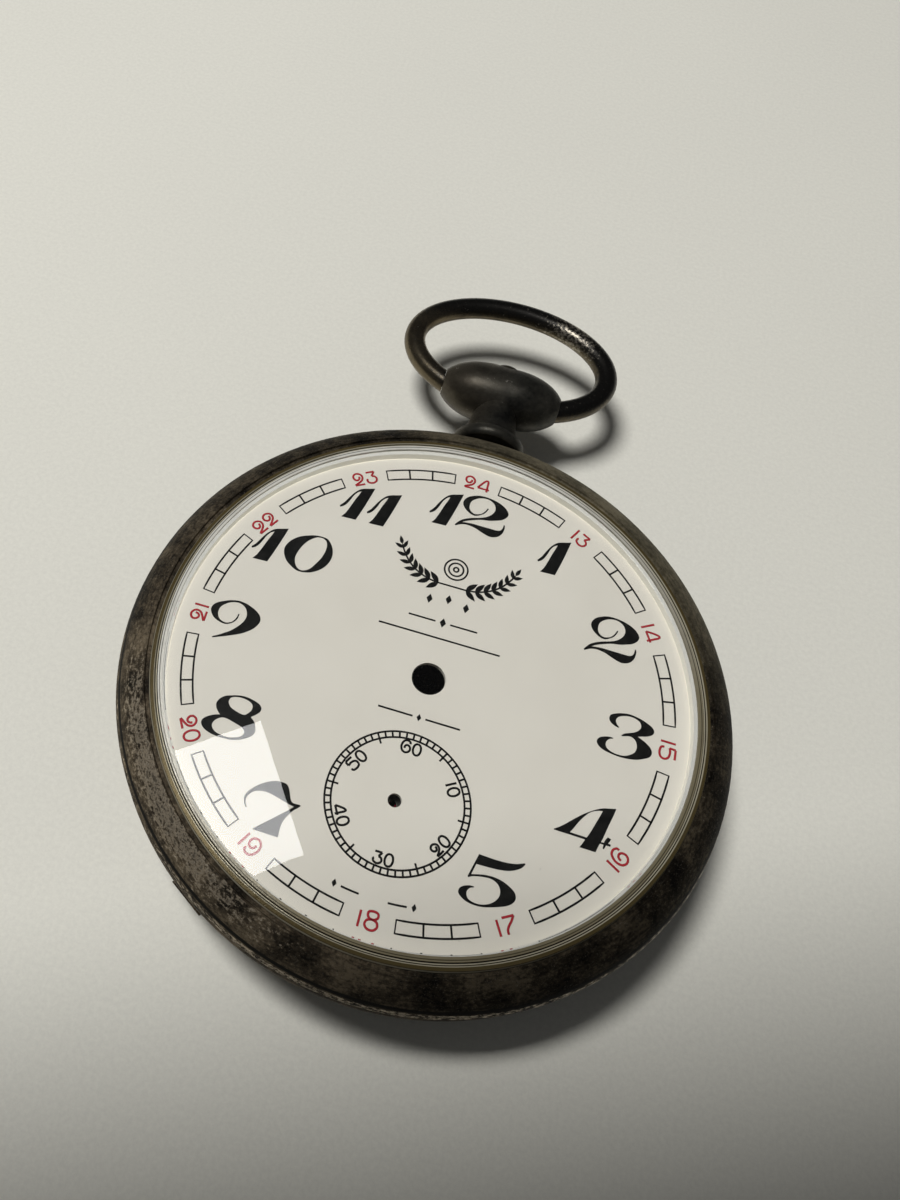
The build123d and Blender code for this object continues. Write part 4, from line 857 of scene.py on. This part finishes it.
def add_floor():
    f = Finish("paper")
    cloud = f.noise(14, 5, 0.55)
    fibre = f.noise(2600, 4, 0.7)
    tint = f.ramp(cloud, (0.3, (0.73, 0.715, 0.64)), (0.7, (0.76, 0.745, 0.665)))
    f.set(Base_Color=f.mix(f.ramp(fibre, (0.35, 0.30), (0.65, 0.0)), tint, (0.56, 0.545, 0.49)),
          Roughness=0.85, Specular_IOR_Level=0.2)
    f.bump(f.noise(900, 6), 0.1, 0.05)
    half = 0.6
    flat_sheet("floor", [(-half, -half, 0), (half, -half, 0), (half, half, 0), (-half, half, 0)],
               f.material)


def link_light(name, lamp, place, turn):
    """The dial is lit straight through the crystal, so no lamp is met again by a bent ray."""
    thing = bpy.data.objects.new(name, lamp)
    thing.location = place
    thing.rotation_euler = turn
    thing.visible_transmission = False
    bpy.context.scene.collection.objects.link(thing)
    return thing


def add_shade_card():
    """A level card above the near side, met by shadow rays only."""
    card = Finish("card")
    grain = card.noise(300)
    card.set(Base_Color=card.ramp(grain, (0.3, 0.02), (0.7, 0.03)), Roughness=0.9)
    outward = Vector((0.41, -0.912, 0))
    half_edge = 0.6 * Vector((0.912, 0.41, 0))
    near = Vector((0, 0, 0.078)) + 0.0005 * outward
    far = near + 0.5 * outward
    corners = [near - half_edge, near + half_edge, far + half_edge, far - half_edge]
    sheet = flat_sheet("shade_card", corners, card.material)
    sheet.visible_camera = sheet.visible_glossy = False
    sheet.visible_diffuse = sheet.visible_transmission = False


def add_lights():
    """A ceiling panel met in reflections, a large soft lamp, and a card that shades the near side."""
    panel = bpy.data.lights.new("ceiling_panel", "AREA")
    panel.shape = "RECTANGLE"
    panel.size, panel.size_y = 0.112, 0.15
    panel.energy = 0.46
    panel.cycles.max_bounces = 2
    reflected = link_light("ceiling_panel", panel, (-0.121, -0.004, 0.4), (0, 0, math.radians(-55)))
    reflected.visible_diffuse = False

    lamp = bpy.data.lights.new("soft_lamp", "AREA")
    lamp.shape = "DISK"
    lamp.size = 0.23
    lamp.energy = 4.15
    place = Vector((-0.27, 0.085, 0.62))
    turn = (-place).to_track_quat("-Z", "Y").to_euler()
    link_light("soft_lamp", lamp, place, turn).visible_glossy = False

    add_shade_card()


def add_world():
    world = bpy.data.worlds.new("studio")
    bpy.context.scene.world = world
    world.use_nodes = True
    background = world.node_tree.nodes["Background"]
    background.inputs["Color"].default_value = (0.97, 0.98, 1.0, 1)
    background.inputs["Strength"].default_value = 0.07
    world.cycles_visibility.transmission = False


def add_camera():
    lens = bpy.data.cameras.new("camera")
    lens.lens = 30.182
    lens.shift_x, lens.shift_y = 0.1413, -0.01295
    lens.clip_start = 0.005
    camera = bpy.data.objects.new("camera", lens)
    camera.location = (-0.0057068, -0.0314273, 0.081293)
    camera.rotation_euler = [math.radians(a) for a in (26.5476, -2.6422, 17.3804)]
    bpy.context.scene.collection.objects.link(camera)
    bpy.context.scene.camera = camera


finishes = make_finishes()
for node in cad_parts.values():
    node.data.materials[0] = finishes[node.data.materials[0].name]
# The dial is lit right up to the bezel; the case body throws the shadow on the floor.
for name in ("crystal", "bezel"):
    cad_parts[name].visible_shadow = False
add_dial_print(finishes)
add_floor()
add_world()
add_lights()
add_camera()
bpy.context.scene.view_settings.view_transform = "Standard"
